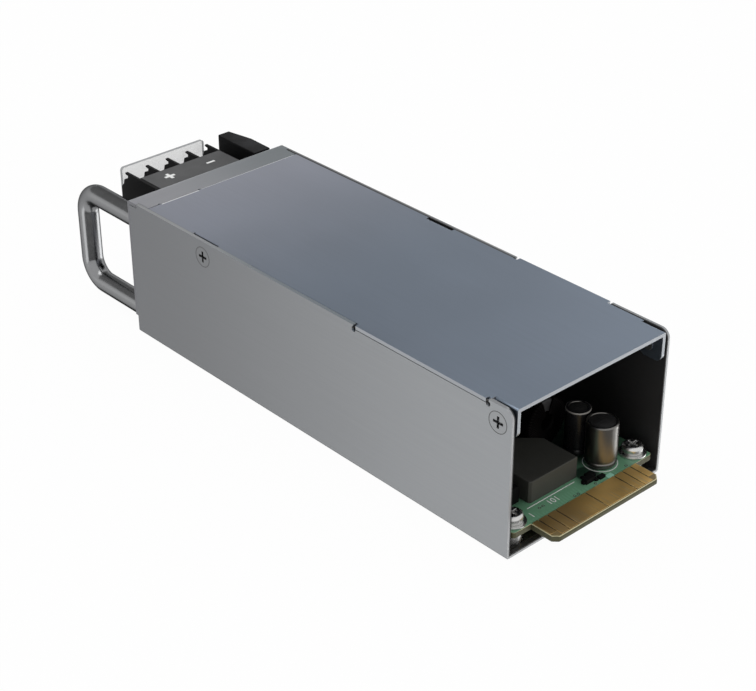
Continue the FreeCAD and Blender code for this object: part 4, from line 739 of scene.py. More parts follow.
FINISHES: dict[str, Finish] = {
    # case_steel and screw_flush run darker and cover_steel and joint_grey lighter towards the handle end, panel_steel
    # across its width: painted light and shade.
    "case_steel": PlatedSheet((0.303, 0.313, 0.324), cut_edge_and_painted_side=(0.38, 0.385, 0.39), painted_shade_inside=25.95,
                              painted_gradient_end=(0.173, 0.178, 0.186), painted_top_light=(0.42, 0.43, 0.44)),
    "cover_steel": PlatedSheet((0.203, 0.243, 0.302), cut_edge_and_painted_side=(0.36, 0.37, 0.38), laps=26.0,
                               painted_gradient_end=(0.375, 0.388, 0.450), fade=(-88.0, 12.0)),
    "polished_steel": TurnedMetal((0.246, 0.249, 0.254), 0.22, staining=0.10, edge_tint=0.25),
    "screw_steel": TurnedMetal((0.60, 0.60, 0.59), 0.27, staining=0.2),
    "plated_copper": TurnedMetal((0.62, 0.60, 0.55), 0.28, stain=(0.40, 0.26, 0.14)),
    "gold": ContactGold(),
    "black_plastic": MouldedPlastic(BLACK, 0.46, dust_and_light=0.02, sheen=0.06),
    "white_plastic": MouldedPlastic((0.72, 0.71, 0.66), 0.5, spread=0.05, dust_and_light_colour=(0.5, 0.48, 0.42)),
    "clear_plastic": ClearPlastic(),
    "status_lens": ClearPlastic((0.16, 0.50, 0.20), (0.10, 0.34, 0.13), 0.6, 0.95),
    "red_lead": MouldedPlastic((0.42, 0.03, 0.025), 0.42, dust_and_light=0.05),
    "black_lead": MouldedPlastic((0.012, 0.012, 0.012), 0.42, dust_and_light=0.05, sheen=0.3),
    "bearing_bronze": TurnedMetal((0.50, 0.34, 0.16), 0.4),
    "lamination_steel": TurnedMetal((0.30, 0.29, 0.28), 0.45, Grain.ALONG_X),
    "board_green": BoardMask(),
    "insulating_film": MouldedPlastic((0.010, 0.0095, 0.008), 0.45, 0.01, dust_and_light=0.03, sheen=0.2),
    "can_aluminium": TurnedMetal((0.172, 0.167, 0.157), 0.33, Grain.ALONG_Z, stain=(0.11, 0.10, 0.09),
                                 staining=0.12),
    "can_sleeve": MouldedPlastic((0.008, 0.008, 0.009), 0.3, 0.01, dust_and_light=0.03, sheen=0.4),
    "film_case": MouldedPlastic((0.50, 0.38, 0.03), 0.4, spread=0.08, dust_and_light_colour=(0.5, 0.45, 0.2)),
    "fuse_glass": Sintered((0.72, 0.70, 0.64), 0.3),
    "ferrite": Sintered((0.032, 0.032, 0.034)),
    "enamelled_copper": WoundWire(),
    "bobbin_plastic": MouldedPlastic((0.04, 0.04, 0.036), 0.5),
    "winding_tape": LayeredTape(),
    "sink_aluminium": TurnedMetal((0.52, 0.52, 0.53), 0.38, Grain.ALONG_Z),
    "panel_steel": PlatedSheet((0.425, 0.430, 0.460), 0.40, Grain.ALONG_X, painted_gradient_end=(0.235, 0.262, 0.278),
                               cut_edge_and_painted_side=(0.095, 0.097, 0.104), laps=26.4, fade=(-30.0, 24.0), fade_across=True),
    "screw_flush": PlatedSheet((0.290, 0.298, 0.306), 0.40, painted_gradient_end=(0.172, 0.176, 0.182),
                               rim=(0.05, 0.05, 0.05)),
    "ring_shadow": MouldedPlastic((0.085, 0.086, 0.088), 0.6, 0.01, dust_and_light=0.0, sheen=0.2),
    "label_grey": MouldedPlastic((0.078, 0.079, 0.081), 0.6, 0.01, dust_and_light=0.1, sheen=0.2),
    # The lever's top is painted lighter through its strong dust_and_light share: painted light, partly dust.
    "lever_plastic": MouldedPlastic((0.0030, 0.0031, 0.0034), dust_and_light=0.20, dust_and_light_colour=(0.10, 0.102, 0.112),
                                    sheen=0.06),
    "print_white": MouldedPlastic((0.80, 0.81, 0.80), 0.6, 0.005, dust_and_light=0.0, spread=0.04),
    "solder": TurnedMetal((0.66, 0.68, 0.66), 0.25, staining=0.3),
    "pad_mint": MouldedPlastic((0.30, 0.62, 0.47), 0.35, 0.005, dust_and_light=0.0, spread=0.06),
    # Light grey ring on the tall can's rim: painted highlight.
    "painted_glint_sleeve": MouldedPlastic((0.25, 0.243, 0.23), 0.4, 0.005, dust_and_light=0.0, sheen=0.4),
    "bung_rubber": MouldedPlastic((0.015, 0.014, 0.013), 0.6, sheen=0.3),
    "can_top": MouldedPlastic((0.016, 0.016, 0.016), 0.45, 0.01, dust_and_light=0.05, sheen=0.35),
    "chip_tan": Sintered((0.36, 0.27, 0.17), 0.5),
    "moulded_iron": MouldedPlastic((0.0365, 0.0368, 0.0325), 0.55, 0.03, dust_and_light=0.03, sheen=0.3),
    # Painted shade: the output choke's copper wire is painted near black where it lies deep in the case.
    "painted_shade_wire": WoundWire((0.004, 0.003, 0.003), (0.002, 0.0015, 0.0015), 0.6, 0.0),
    "joint_grey": PlatedSheet((0.235, 0.262, 0.300), painted_gradient_end=(0.30, 0.31, 0.34), fade=(-80.0, 10.0)),
    # Near white hem strips: painted highlight.
    "painted_highlight_hem": TurnedMetal((0.93, 0.94, 0.97), 0.35, staining=0.05),
}


class Finishes:
    """Materials by name, each made once."""

    def __init__(self) -> None:
        """Starts with nothing made."""
        self._made: dict[str, bpy.types.Material] = {}

    def get(self, name: str) -> bpy.types.Material:
        """The material of a finish.

        Args:
            name: Name of the finish.

        Returns:
            Its material.
        """
        if name not in self._made:
            self._made[name] = FINISHES[name].build("finish_" + name)
        return self._made[name]


# ------------------------------------------------------------------------------------------------- mesh building


class Shape:
    """A mesh in the making, in millimetres."""

    CLOSE = 0.002
    TOUCHING = 0.0005
    LEVEL = math.radians(0.6)
    ROOM = 2.6

    def __init__(self) -> None:
        """Starts empty."""
        self.mesh = bmesh.new()

    @classmethod
    def of_node(cls, node: bpy.types.Object) -> Shape:
        """Merged copy of a CAD node, its flat faces whole.

        Args:
            node: The node's object, which stays as it is.

        Returns:
            The copy.
        """
        shape = cls()
        shape.mesh.from_mesh(node.data)
        bmesh.ops.scale(shape.mesh, vec=(1 / METRES,) * 3, verts=shape.mesh.verts)
        bmesh.ops.remove_doubles(shape.mesh, verts=shape.mesh.verts, dist=cls.CLOSE)
        bmesh.ops.dissolve_limit(shape.mesh, angle_limit=cls.LEVEL, use_dissolve_boundaries=False,
                                 verts=shape.mesh.verts, edges=shape.mesh.edges, delimit={"NORMAL"})
        return shape

    def box(self, low: Point, high: Point, edge: float = 0.0, segments: int = 2) -> None:
        """Block between two corners.

        Args:
            low: Lowest corner.
            high: Highest corner.
            edge: Radius of its rounded edges.
            segments: Steps of the rounding.
        """
        middle = (Vector(low) + Vector(high)) / 2
        size = Vector(high) - Vector(low)
        made = bmesh.ops.create_cube(self.mesh, size=1.0,
                                     matrix=Matrix.Translation(middle) @ Matrix.Diagonal((*size, 1.0)))
        if edge:
            edges = {e for vert in made["verts"] for e in vert.link_edges}
            self.bevel(edges, edge, segments)

    def revolve(self, profile: Profile, foot: Point, axis: Axis = Axis.Z,
                steps: int = 72) -> None:
        """Turned form.

        Args:
            profile: Radius and height of each point, from one end to the other.
            foot: Where height 0 of the axis is.
            axis: The way the form stands.
            steps: Facets round it.
        """
        turn = axis.turn
        verts = [self.mesh.verts.new(Vector(foot) + turn @ Vector((radius, 0.0, height)))
                 for radius, height in profile]
        edges = [self.mesh.edges.new(pair) for pair in zip(verts, verts[1:])]
        bmesh.ops.spin(self.mesh, geom=verts + edges, cent=foot, axis=axis.vector, angle=2 * math.pi, steps=steps,
                       use_merge=True)

    def bevel(self, edges: Iterable[bmesh.types.BMEdge], offset: float, segments: int = 2) -> None:
        """Rounds edges.

        Args:
            edges: Which ones.
            offset: How far from the edge the rounding starts.
            segments: Its steps.
        """
        bmesh.ops.bevel(self.mesh, geom=list(edges), offset=offset, offset_type="OFFSET", segments=segments,
                        profile=0.5, affect="EDGES", clamp_overlap=False, material=-1)

    def soften(self, offset: float, segments: int = 2) -> None:
        """Rounds every sharp edge whose faces are wide enough for it.

        Args:
            offset: How far from the edge the rounding starts.
            segments: Its steps.
        """
        sharp = [edge for edge in self.mesh.edges
                 if len(edge.link_faces) == 2 and edge.calc_face_angle(0.0) > SHARP
                 and all(face.calc_area() > self.ROOM * offset * edge.calc_length() for face in edge.link_faces)]
        self.bevel(sharp, offset, segments)

    def finish(self, name: str, closed: bool = True) -> bpy.types.Object:
        """Turns the mesh into an object in metres, smooth but for its sharp edges.

        Args:
            name: The object's name.
            closed: Whether doubles are merged and the faces are turned outwards.

        Returns:
            The object, at the origin.
        """
        if closed:
            bmesh.ops.remove_doubles(self.mesh, verts=self.mesh.verts, dist=self.TOUCHING)
            bmesh.ops.recalc_face_normals(self.mesh, faces=self.mesh.faces)
        bmesh.ops.scale(self.mesh, vec=(METRES,) * 3, verts=self.mesh.verts)
        for face in self.mesh.faces:
            face.smooth = True
        for edge in self.mesh.edges:
            edge.smooth = len(edge.link_faces) != 2 or edge.calc_face_angle(0.0) < SHARP
        made = add_mesh(name, self.mesh)
        made.modifiers.new("even_faces", "WEIGHTED_NORMAL").keep_sharp = True
        return made


class Rod:
    """A round rod that grows from its first ring, run by run and bend by bend."""

    def __init__(self, shape: Shape, start: Point, heading: Point, radius: float, sides: int) -> None:
        """Draws the first ring.

        Args:
            shape: The mesh that it grows in.
            start: Middle of the ring.
            heading: Which way the rod sets out.
            radius: Its radius.
            sides: Facets round it.
        """
        self.mesh = shape.mesh
        made = bmesh.ops.create_circle(self.mesh, cap_ends=False, segments=sides, radius=radius,
                                       matrix=Matrix.Translation(start) @ turn_to(heading).to_4x4())
        self.ring = self._ring(made["verts"])

    def _ring(self, geometry: Iterable[Any]) -> list[bmesh.types.BMEdge]:
        """Edges whose two ends are both among the given vertices."""
        verts = set(verts_of(geometry))
        return [edge for edge in {e for v in verts for e in v.link_edges} if set(edge.verts) <= verts]

    def run(self, step: Point) -> Rod:
        """Grows straight by a step.

        Args:
            step: How far and where.

        Returns:
            The rod itself.
        """
        made = bmesh.ops.extrude_edge_only(self.mesh, edges=self.ring)
        verts = verts_of(made["geom"])
        bmesh.ops.translate(self.mesh, vec=step, verts=verts)
        self.ring = self._ring(verts)
        return self

    def bend(self, centre: Point, axis: Point, degrees: float, steps: int) -> Rod:
        """Grows round a bend.

        Args:
            centre: Middle of the bend.
            axis: What it turns about.
            degrees: How far it turns.
            steps: Facets along it.

        Returns:
            The rod itself.
        """
        verts = list({v for edge in self.ring for v in edge.verts})
        made = bmesh.ops.spin(self.mesh, geom=verts + self.ring, cent=centre, axis=axis,
                              angle=math.radians(degrees), steps=steps, use_merge=False)
        self.ring = self._ring(made["geom_last"])
        return self

    def cap(self) -> Rod:
        """Closes the ring that it has reached."""
        bmesh.ops.contextual_create(self.mesh, geom=self.ring)
        return self


class Kit:
    """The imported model's nodes, and what new pieces and finishes are put on them."""

    def __init__(self, frame: Mapping[str, Any], finishes: Finishes) -> None:
        """Reads slots and bodies from the record.

        Args:
            finishes: The materials.
        """
        self.finishes = finishes
        self.nodes: dict[str, bpy.types.Object] = frame["nodes"]
        record = frame["record"]
        self.slots = {part["node"]: part["material_slot"] for part in record["subparts"]}
        bodies = record["behaviour"]["bodies"]
        pairs = bodies.items() if isinstance(bodies, dict) else ((b["name"], b["nodes"]) for b in bodies)
        self.bodies = {node: body for body, nodes in pairs for node in nodes}
        self.dressed: set[str] = set()

    def paint(self, node: str) -> None:
        """Gives a CAD node the finish of its slot.

        Args:
            node: The node.
        """
        made = self.finishes.get(self.slots[node])
        for slot in self.nodes[node].material_slots:
            slot.material = made
        self.dressed.add(node)
        LOG.info("dressed %s", node)

    def place(self, shape: Shape, name: str, slot: str, body: str = "case", finish: str | None = None,
              stands_for: Sequence[str] = (), closed: bool = True) -> None:
        """Finishes a piece and hangs it on its body.

        Args:
            shape: Its mesh.
            name: Its name.
            slot: The record's slot that it takes its finish from.
            body: The body that it rides on.
            finish: Name of the finish, or none for the slot's own.
            stands_for: CAD nodes that it takes the place of.
            closed: Whether its faces are turned outwards.
        """
        self.hang(shape.finish(name, closed), slot, body, finish, stands_for)

    def hang(self, piece: bpy.types.Object, slot: str, body: str = "case", finish: str | None = None,
             stands_for: Sequence[str] = ()) -> None:
        """Gives a finished object its material and body, and hides the CAD nodes that it stands for.

        Args:
            piece: The object.
            slot: The record's slot that it takes its finish from.
            body: The body that it rides on.
            finish: Name of the finish, or none for the slot's own.
            stands_for: CAD nodes that it takes the place of.
        """
        piece.data.materials.clear()
        piece.data.materials.append(self.finishes.get(finish or slot))
        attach(piece, body)
        if stands_for:
            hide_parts(*stands_for)
            self.dressed.update(stands_for)
        LOG.info("made %s on %s", piece.name, body)

    def soften(self, node: str, offset: float, finish: str | None = None, segments: int = 2,
               fit: Callable[[Shape], None] | None = None) -> None:
        """Puts a copy with rounded edges in the place of a CAD node.

        Args:
            node: The node.
            offset: Size of the rounding.
            finish: Name of the finish, or none for that of its slot.
            segments: Steps of the rounding.
            fit: What else is done to the copy first.
        """
        shape = Shape.of_node(self.nodes[node])
        if fit:
            fit(shape)
        shape.soften(offset, segments)
        self.place(shape, node + "_finished", self.slots[node], self.bodies.get(node, "case"), finish, [node],
                   closed=False)

    def rest(self) -> None:
        """Gives every CAD node that is left the finish of its slot."""
        for node in self.nodes:
            if node not in self.dressed:
                self.paint(node)


# ------------------------------------------------------------------------------------------------ sub-assemblies


@dataclass
class Rounded:
    """A sub-assembly whose nodes get rounded copies: each row is a node, a size and, if need be, finish and steps."""

    edges: Rows = ()

    def build(self, kit: Kit) -> None:
        """Rounds the nodes."""
        for row in self.edges:
            kit.soften(*row)


@dataclass
class CaseShell(Rounded):
    """Tray, cover and end panel, with the screws that hold them."""

    edges: Rows = (("chassis", 0.045), ("top_cover", 0.045), ("front_panel", 0.045, "panel_steel"),
                   ("side_screws", 0.13, "screw_flush"), ("floor_screws", 0.13, "screw_flush"),
                   ("latch_rivets", 0.2, "screw_flush"))
    top: float = 40.0
    hem_depth: float = 0.3
    hem_x: Pair = (8.9, 21.3)
    hem_y: Pair = (-63.32, -62.88)
    seam_x: Pair = (-24.6, 7.9)
    seam_y: Pair = (-63.34, -63.22)
    proud: float = 0.05
    joint_x: Pair = (25.44, 25.61)
    joint_runs: tuple[tuple[int, float, float, float], ...] = (
        (1, -63.4, -44.3, 0.0), (1, -33.5, -20.0, 0.0), (1, -20.0, 18.9, 0.10), (-1, -63.4, -9.5, 0.03),
        (-1, 0.3, 21.4, 0.03))
    joint_depth: float = 0.35
    half_width: float = 26.6
    screw_places: tuple[tuple[int, float], ...] = ((1, 67.2), (1, -38.9), (-1, 67.2), (-1, -4.6))
    screw_z: float = 35.4
    ring: Pair = (2.66, 2.84)
    ring_rise: float = 0.02

    def build(self, kit: Kit) -> None:
        """Lays the rings round the screws, near white strips along the seams by the end panel as painted highlight,
        and the joint strips along the lapped seams, then rounds the sheets and their screws.

        Args:
            kit: Where the pieces go.
        """
        rings = Shape()
        inner, outer = self.ring
        rise = self.ring_rise * 2
        for side, y in self.screw_places:
            foot = (side * self.half_width - self.ring_rise, y, self.screw_z)
            rings.revolve(((inner, 0.0), (outer, 0.0), (outer, rise), (inner, rise), (inner, 0.0)), foot, Axis.X)
        kit.place(rings, "screw_rings", "screw_steel", finish="ring_shadow", closed=False)
        # Near white strips along the seams by the end panel: painted highlight of the seam edges.
        hem = Shape()
        for (left, right), (low, high) in ((self.hem_x, self.hem_y), (self.seam_x, self.seam_y)):
            hem.box((left, low, self.top - self.hem_depth), (right, high, self.top + self.proud), self.proud)
        kit.place(hem, "cover_hem", "cover_steel", finish="painted_highlight_hem", closed=False)
        joints = Shape()
        for side, start, end, sunk in self.joint_runs:
            left, right = sorted(side * x for x in self.joint_x)
            joints.box((left, start, self.top - self.joint_depth), (right, end, self.top - sunk))
        kit.place(joints, "cover_joints", "cover_steel", finish="joint_grey", closed=False)
        super().build(kit)


@dataclass
class Handle:
    """Polished rod bent into a U on the end panel."""

    x: float = 21.4
    panel_y: float = -71.5
    low: float = 4.5
    high: float = 31.8
    reach: float = 27.7
    bend_radius: float = 6.5
    radius: float = 3.0
    sides: int = 48
    bend_steps: int = 20

    def build(self, kit: Kit) -> None:
        """Grows the rod from the upper leg round to the lower one.

        Args:
            kit: Where the pieces go.
        """
        shape = Shape()
        run = self.reach - self.bend_radius
        turn_y = self.panel_y - run
        upright = self.high - self.low - 2 * self.bend_radius
        rod = Rod(shape, (self.x, self.panel_y, self.high), (0, -1, 0), self.radius, self.sides)
        rod.cap().run((0, -run, 0))
        for middle, step in ((self.high - self.bend_radius, (0, 0, -upright)),
                             (self.low + self.bend_radius, (0, run, 0))):
            rod.bend((self.x, turn_y, middle), (1, 0, 0), 90, self.bend_steps).run(step)
        rod.cap()
        kit.place(shape, "handle_rod", "polished_steel", stands_for=["handle"])
        kit.paint("handle_screws")


@dataclass
class InputTerminals:
    """Barrier block with its grey label field, polarity marks, plates, screws and clear cover."""

    block_edge: float = 0.18
    cover_edge: float = 0.15
    metal_edge: float = 0.12
    label: tuple[Point, Point] = ((-15.7, -86.0, 36.6), (11.7, -71.9, 36.66))
    label_edge: float = 0.03
    plus: Pair = (5.1, -81.6)
    minus: Pair = (-9.0, -81.3)
    mark: float = 3.3
    stroke: float = 0.95
    minus_scale: Pair = (0.85, 0.8)
    print_height: float = 0.03
    layer: float = 0.006
    guard_x: Pair = (-16.2, -14.9)
    guard_z: float = 26.6
    guard_step: float = 1.0
    guard_close: float = 0.001

    def _widen(self, shape: Shape) -> None:
        """Brings the clear plate out to the width of its skirt on the lever's side.

        Args:
            shape: The copy of the cover.
        """
        for vert in shape.mesh.verts:
            if self.guard_x[0] < vert.co.x < self.guard_x[1] and vert.co.z > self.guard_z:
                vert.co.x -= self.guard_step
        bmesh.ops.remove_doubles(shape.mesh, verts=shape.mesh.verts, dist=self.guard_close)

    def build(self, kit: Kit) -> None:
        """Rounds the mouldings, then lays the label and the marks on the block.

        Args:
            kit: Where the pieces go.
        """
        kit.soften("terminal_block", self.block_edge)
        kit.soften("terminal_cover", self.cover_edge, segments=3, fit=self._widen)
        for node in ("terminal_plates", "terminal_screws"):
            kit.soften(node, self.metal_edge)
        label = Shape()
        label.box(*self.label, edge=self.label_edge)
        kit.place(label, "terminal_label", "black_plastic", finish="label_grey")
        marks = Shape()
        base = self.label[1][2]
        half, wide = self.mark / 2, self.stroke / 2
        dash = (half * self.minus_scale[0], wide * self.minus_scale[1])
        for (x, y), bars in ((self.plus, ((half, wide), (wide, half))), (self.minus, (dash,))):
            for index, (across, along) in enumerate(bars):
                marks.box((x - across, y - along, base),
                          (x + across, y + along, base + self.print_height + index * self.layer))
        kit.place(marks, "polarity_marks", "white_plastic", finish="print_white", closed=False)


@dataclass
class ReleaseLever(Rounded):
    """Thumb lever and its bracket."""

    edges: Rows = (("latch_lever", 0.3, "lever_plastic", 3), ("latch_bracket", 0.12, "panel_steel"))


@dataclass
class CoolingFan(Rounded):
    """Fan, its bracket and its connector."""

    edges: Rows = (("fan_frame", 0.2), ("fan_rotor", 0.15), ("fan_bracket", 0.14, "panel_steel"),
                   ("fan_connector", 0.25, None, 3))


@dataclass
class BoardPrint(Rounded):
    """Circuit board with its contacts, printing, pads and the smallest soldered parts."""

    edges: Rows = (("main_board", 0.12), ("card_contacts", 0.03, None, 1), ("board_screws", 0.12),
                   ("board_washers", 0.12), ("board_standoffs", 0.12))
    top: float = 6.0
    can: Pair = (-12.2, 64.9)
    ring: float = 4.12
    line: float = 0.22
    print_height: float = 0.025
    black_chips: tuple[tuple[float, float, float, float, float], ...] = (
        (-6.9, 66.5, -4.6, 68.3, 0.9), (-8.4, 68.9, -6.5, 70.1, 0.7), (-6.2, 68.6, -5.2, 69.9, 0.5),
        (-4.3, 66.3, -3.5, 67.9, 0.5))
    black_edge: float = 0.08
    chips: tuple[tuple[float, float, float, float], ...] = (
        (16.2, 57.6, 2.0, 1.25), (16.2, 55.2, 2.0, 1.25), (-17.2, 58.6, 1.6, 0.8), (-17.2, 57.0, 1.6, 0.8),
        (-17.2, 55.4, 1.6, 0.8), (15.6, 51.0, 1.6, 0.8), (-16.4, 63.6, 1.6, 0.8), (-4.2, 62.4, 1.6, 0.8),
        (-4.4, 58.2, 2.0, 1.25))
    chip_edge: float = 0.06
    chip_cap: float = 0.22
    chip_half: float = 0.5
    chip_rise: float = 0.55
    end_half: float = 0.52
    end_rise: float = 0.58
    inductor_line: tuple[float, float, float] = (-1.4, 14.8, 66.3)
    numbers: tuple[tuple[str, str, Pair], ...] = (
        ("board_number", "101", (7.8, 68.2)), ("board_first", "1", (15.8, 68.9)))
    number_size: float = 2.5
    mint_pad: tuple[float, float, float, float] = (-10.6, -8.6, 69.6, 71.0)
    pad_height: float = 0.05
    pad_edge: float = 0.02
    via_ring: Profile = ((0.22, 0.0), (0.22, 0.03), (0.42, 0.03), (0.42, 0.0), (0.22, 0.0))
    dot_dome: Profile = ((0.5, 0.0), (0.42, 0.16), (0.22, 0.34), (0.0, 0.42))
    dot_steps: int = 20
    vias: tuple[Pair, ...] = (
        (12.4, 68.1), (11.2, 68.1), (-4.6, 70.3), (1.6, 70.4), (2.8, 70.4), (-15.6, 70.2), (16.4, 64.8), (16.4, 65.9))
    solder_dots: tuple[Pair, ...] = ((-16.9, 61.6),)

    def build(self, kit: Kit) -> None:
        """Dresses the board and lays the printing and the small parts on it.

        Args:
            kit: Where the pieces go.
        """
        super().build(kit)
        self._printing(kit)
        self._pads(kit)
        self._chips(kit)

    def _printing(self, kit: Kit) -> None:
        """White lines round the parts and two plain numbers.

        Args:
            kit: Where the pieces go.
        """
        shape = Shape()
        z = self.top
        left, right, y = self.inductor_line
        shape.box((left, y, z), (right, y + self.line, z + self.print_height))
        inner, outer, rise = self.ring, self.ring + self.line, self.print_height
        shape.revolve(((inner, 0.0), (inner, rise), (outer, rise), (outer, 0.0), (inner, 0.0)), (*self.can, z))
        kit.place(shape, "board_outlines", "white_plastic", finish="print_white", closed=False)
        for number in self.numbers:
            self._number(kit, *number)

    def _number(self, kit: Kit, name: str, text: str, place: Pair) -> None:
        """Plain digits, read from the open end of the case.

        Args:
            kit: Where the piece goes.
            name: Its name.
            text: The digits.
            place: Middle of the number on the board.
        """
        curve = bpy.data.curves.new(name, "FONT")
        curve.body = text
        curve.size = self.number_size
        curve.align_x = "CENTER"
        curve.align_y = "CENTER"
        curve.extrude = self.print_height / 2
        words = add_object(name + "_text", curve)
        bpy.context.view_layer.update()
        data = bpy.data.meshes.new_from_object(words.evaluated_get(bpy.context.evaluated_depsgraph_get()))
        bpy.data.objects.remove(words)
        middle = Matrix.Translation((*place, self.top + self.print_height / 2))
        data.transform(Matrix.Scale(METRES, 4) @ middle @ Matrix.Rotation(math.pi, 4, "Z"))
        kit.hang(add_object(name, data), "white_plastic", finish="print_white")

    def _pads(self, kit: Kit) -> None:
        """Tinned pads, vias and solder joints.

        Args:
            kit: Where the pieces go.
        """
        mint = Shape()
        left, right, low, high = self.mint_pad
        mint.box((left, low, self.top), (right, high, self.top + self.pad_height), self.pad_edge)
        kit.place(mint, "light_pad", "board_green", finish="pad_mint")
        dots = Shape()
        for profile, places in ((self.via_ring, self.vias), (self.dot_dome, self.solder_dots)):
            for place in places:
                dots.revolve(profile, (*place, self.top), steps=self.dot_steps)
        kit.place(dots, "solder_joints", "screw_steel", finish="solder")

    def _chips(self, kit: Kit) -> None:
        """Small soldered parts on the board: black ones by the silver can, then resistors and capacitors.

        Args:
            kit: Where the pieces go.
        """
        # Painted shade, in part: besides being small parts, these black boxes are grown and set to fill the dark
        # patch by the silver can.
        black = Shape()
        for left, near, right, far, height in self.black_chips:
            black.box((left, near, self.top), (right, far, self.top + height), self.black_edge)
        kit.place(black, "black_chips", "black_plastic", closed=False)
        bodies, ends = Shape(), Shape()
        for x, y, length, width in self.chips:
            cap = length * self.chip_cap
            self._chip(bodies, (x - length / 2 + cap, x + length / 2 - cap), y, width, self.chip_half, self.chip_rise)
            for side in (-1, 1):
                reach = sorted((x + side * (length / 2 - cap), x + side * length / 2))
                self._chip(ends, reach, y, width, self.end_half, self.end_rise)
        kit.place(bodies, "chip_bodies", "fuse_glass", finish="chip_tan", closed=False)
        kit.place(ends, "chip_ends", "screw_steel", finish="solder", closed=False)

    def _chip(self, shape: Shape, reach: Sequence[float], y: float, width: float, half: float, rise: float) -> None:
        """A chip's body or one of its metal ends.

        Args:
            shape: The mesh that it is added to.
            reach: Where it starts and ends in X.
            y: Its middle.
            width: Width of the chip.
            half: Its half width, as a share of the chip's width.
            rise: Its height, as a share of the chip's width.
        """
        shape.box((reach[0], y - width * half, self.top), (reach[1], y + width * half, self.top + width * rise),
                  self.chip_edge)


@dataclass
class CanCapacitor:
    """Electrolytic can: rubber bung, crimped bead, straight wall, rolled rim and a sunk top."""

    name: str
    node: str
    places: tuple[Pair, ...]
    radius: float
    height: float
    sleeved: bool
    base: float = 6.0
    bung: float = 0.35
    bead: float = 1.7
    groove: float = 0.42
    rim: float = 0.45
    sink: float = 0.22
    shrink: float = 0.1
    sleeve_lip: float = 0.75
    lid_gap: float = 0.35
    score: float = 0.07
    painted_rim_glint: bool = False

    def build(self, kit: Kit) -> None:
        """Turns the can, its bung and, if it has one, its sleeve.

        Args:
            kit: Where the pieces go.
        """
        metal, rubber, sleeve, lid = Shape(), Shape(), Shape(), Shape()
        for x, y in self.places:
            foot = (x, y, self.base)
            metal.revolve(self._wall(), foot)
            self._lid(lid, x, y)
            rubber.revolve(((0.0, 0.0), (self.radius - 0.5, 0.0), (self.radius - 0.5, self.bung * 1.6)), foot)
            if self.sleeved:
                sleeve.revolve(self._sleeve(), foot)
        kit.place(metal, self.name + "_can", "can_aluminium", stands_for=[self.node])
        kit.place(lid, self.name + "_top", "can_sleeve", finish="can_top")
        kit.place(rubber, self.name + "_bung", "black_plastic", finish="bung_rubber")
        if self.sleeved:
            kit.place(sleeve, self.name + "_sleeve", "can_sleeve")
        # Painted highlight: a light grey ring round the top of the rim stands in for the rolled rim's glint.
        if self.painted_rim_glint:
            rim = Shape()
            r, h = self.radius + 0.015, self.height
            for x, y in self.places:
                rim.revolve(((r - 0.12, h - 0.42), (r, h - 0.42), (r - 0.01, h - 0.30), (r - 0.09, h - 0.08),
                             (r - 0.2, h - 0.1), (r - 0.12, h - 0.42)), (x, y, self.base))
            kit.place(rim, self.name + "_rim", "can_sleeve", finish="painted_glint_sleeve", closed=False)

    def _wall(self) -> Profile:
        """Profile of the metal: bead, groove, wall, rolled rim and sunk top.

        Returns:
            Radius and height of each point.
        """
        r, h = self.radius, self.height
        if self.sleeved:
            r -= self.shrink
        points = [(0.0, self.bung), (r - 0.75, self.bung), (r - 0.28, self.bung + 0.04),
                  (r - 0.06, self.bung + 0.2), (r, self.bung + 0.5)]
        for step in range(9):
            angle = math.pi * step / 8
            points.append((r - self.groove * math.sin(angle) ** 0.8, self.bead - 0.5 * math.cos(angle)))
        points.append((r, self.bead + 0.9))
        for step in range(7):
            angle = math.pi / 2 * step / 6
            points.append((r - self.rim + self.rim * math.cos(angle), h - self.rim + self.rim * math.sin(angle)))
        inner = r - self.rim - 0.2
        sunk = h - self.sink
        return (*points, (inner, h - 0.03), (inner - 0.12, sunk), (inner * 0.5, sunk), (0.0, sunk))

    def _sleeve(self) -> Profile:
        """Profile of the shrunk sleeve, which turns in over the rim and under the bead.

        Returns:
            Radius and height of each point.
        """
        r, h = self.radius, self.height
        return ((r - 0.8, self.bung - 0.02), (r - 0.1, self.bung + 0.1), (r, self.bung + 0.4),
                (r, self.bead - 0.55), (r - self.groove * 0.55, self.bead), (r, self.bead + 0.6), (r, h - 0.35),
                (r - 0.1, h - 0.08), (r - 0.3, h + 0.02), (r - self.sleeve_lip, h + 0.03),
                (r - self.sleeve_lip, h - 0.05))

    def _lid(self, shape: Shape, x: float, y: float) -> None:
        """Dark printed disc in the sunk top, parted by the scored cross of its vent.

        Args:
            shape: The mesh that it is added to.
            x: Middle of the can.
            y: Middle of the can.
        """
        z = self.height - self.sink
        reach = self.radius - self.rim - self.lid_gap
        shape.revolve(((0.0, z), (reach, z), (reach, z + 0.07), (reach - 0.05, z + 0.1), (0.0, z + 0.1)),
                      (x, y, self.base))
        foot = self.base + z
        for across, along in ((reach * 0.6, self.score), (self.score, reach * 0.6)):
            shape.box((x - across, y - along, foot), (x + across, y + along, foot + self.score * 2), 0.03, 1)


CANS = (
    CanCapacitor("silver", "output_capacitor", ((-12.2, 64.9),), 4.0, 12.0, False),
    CanCapacitor("tall", "tall_capacitor", ((-11.8, 57.4),), 3.15, 12.5, True, painted_rim_glint=True),
    CanCapacitor("filter", "filter_capacitors", ((3.6, 43.8), (12.4, 43.8), (3.6, 34.6), (12.4, 34.6)), 4.0, 16.0,
                 True),
)


@dataclass(frozen=True)
class Winding:
    """Turns of wire round a ring core; each arc is a first angle, a step and a number of turns, in degrees."""

    name: str
    node: str
    centre: Point
    axis: Axis
    inner: float
    outer: float
    height: float
    arcs: tuple[tuple[float, float, int], ...]
    finish: str | None = None

    @property
    def angles(self) -> list[float]:
        """Where each turn crosses the core, in degrees."""
        return [start + step * index for start, step, count in self.arcs for index in range(count)]


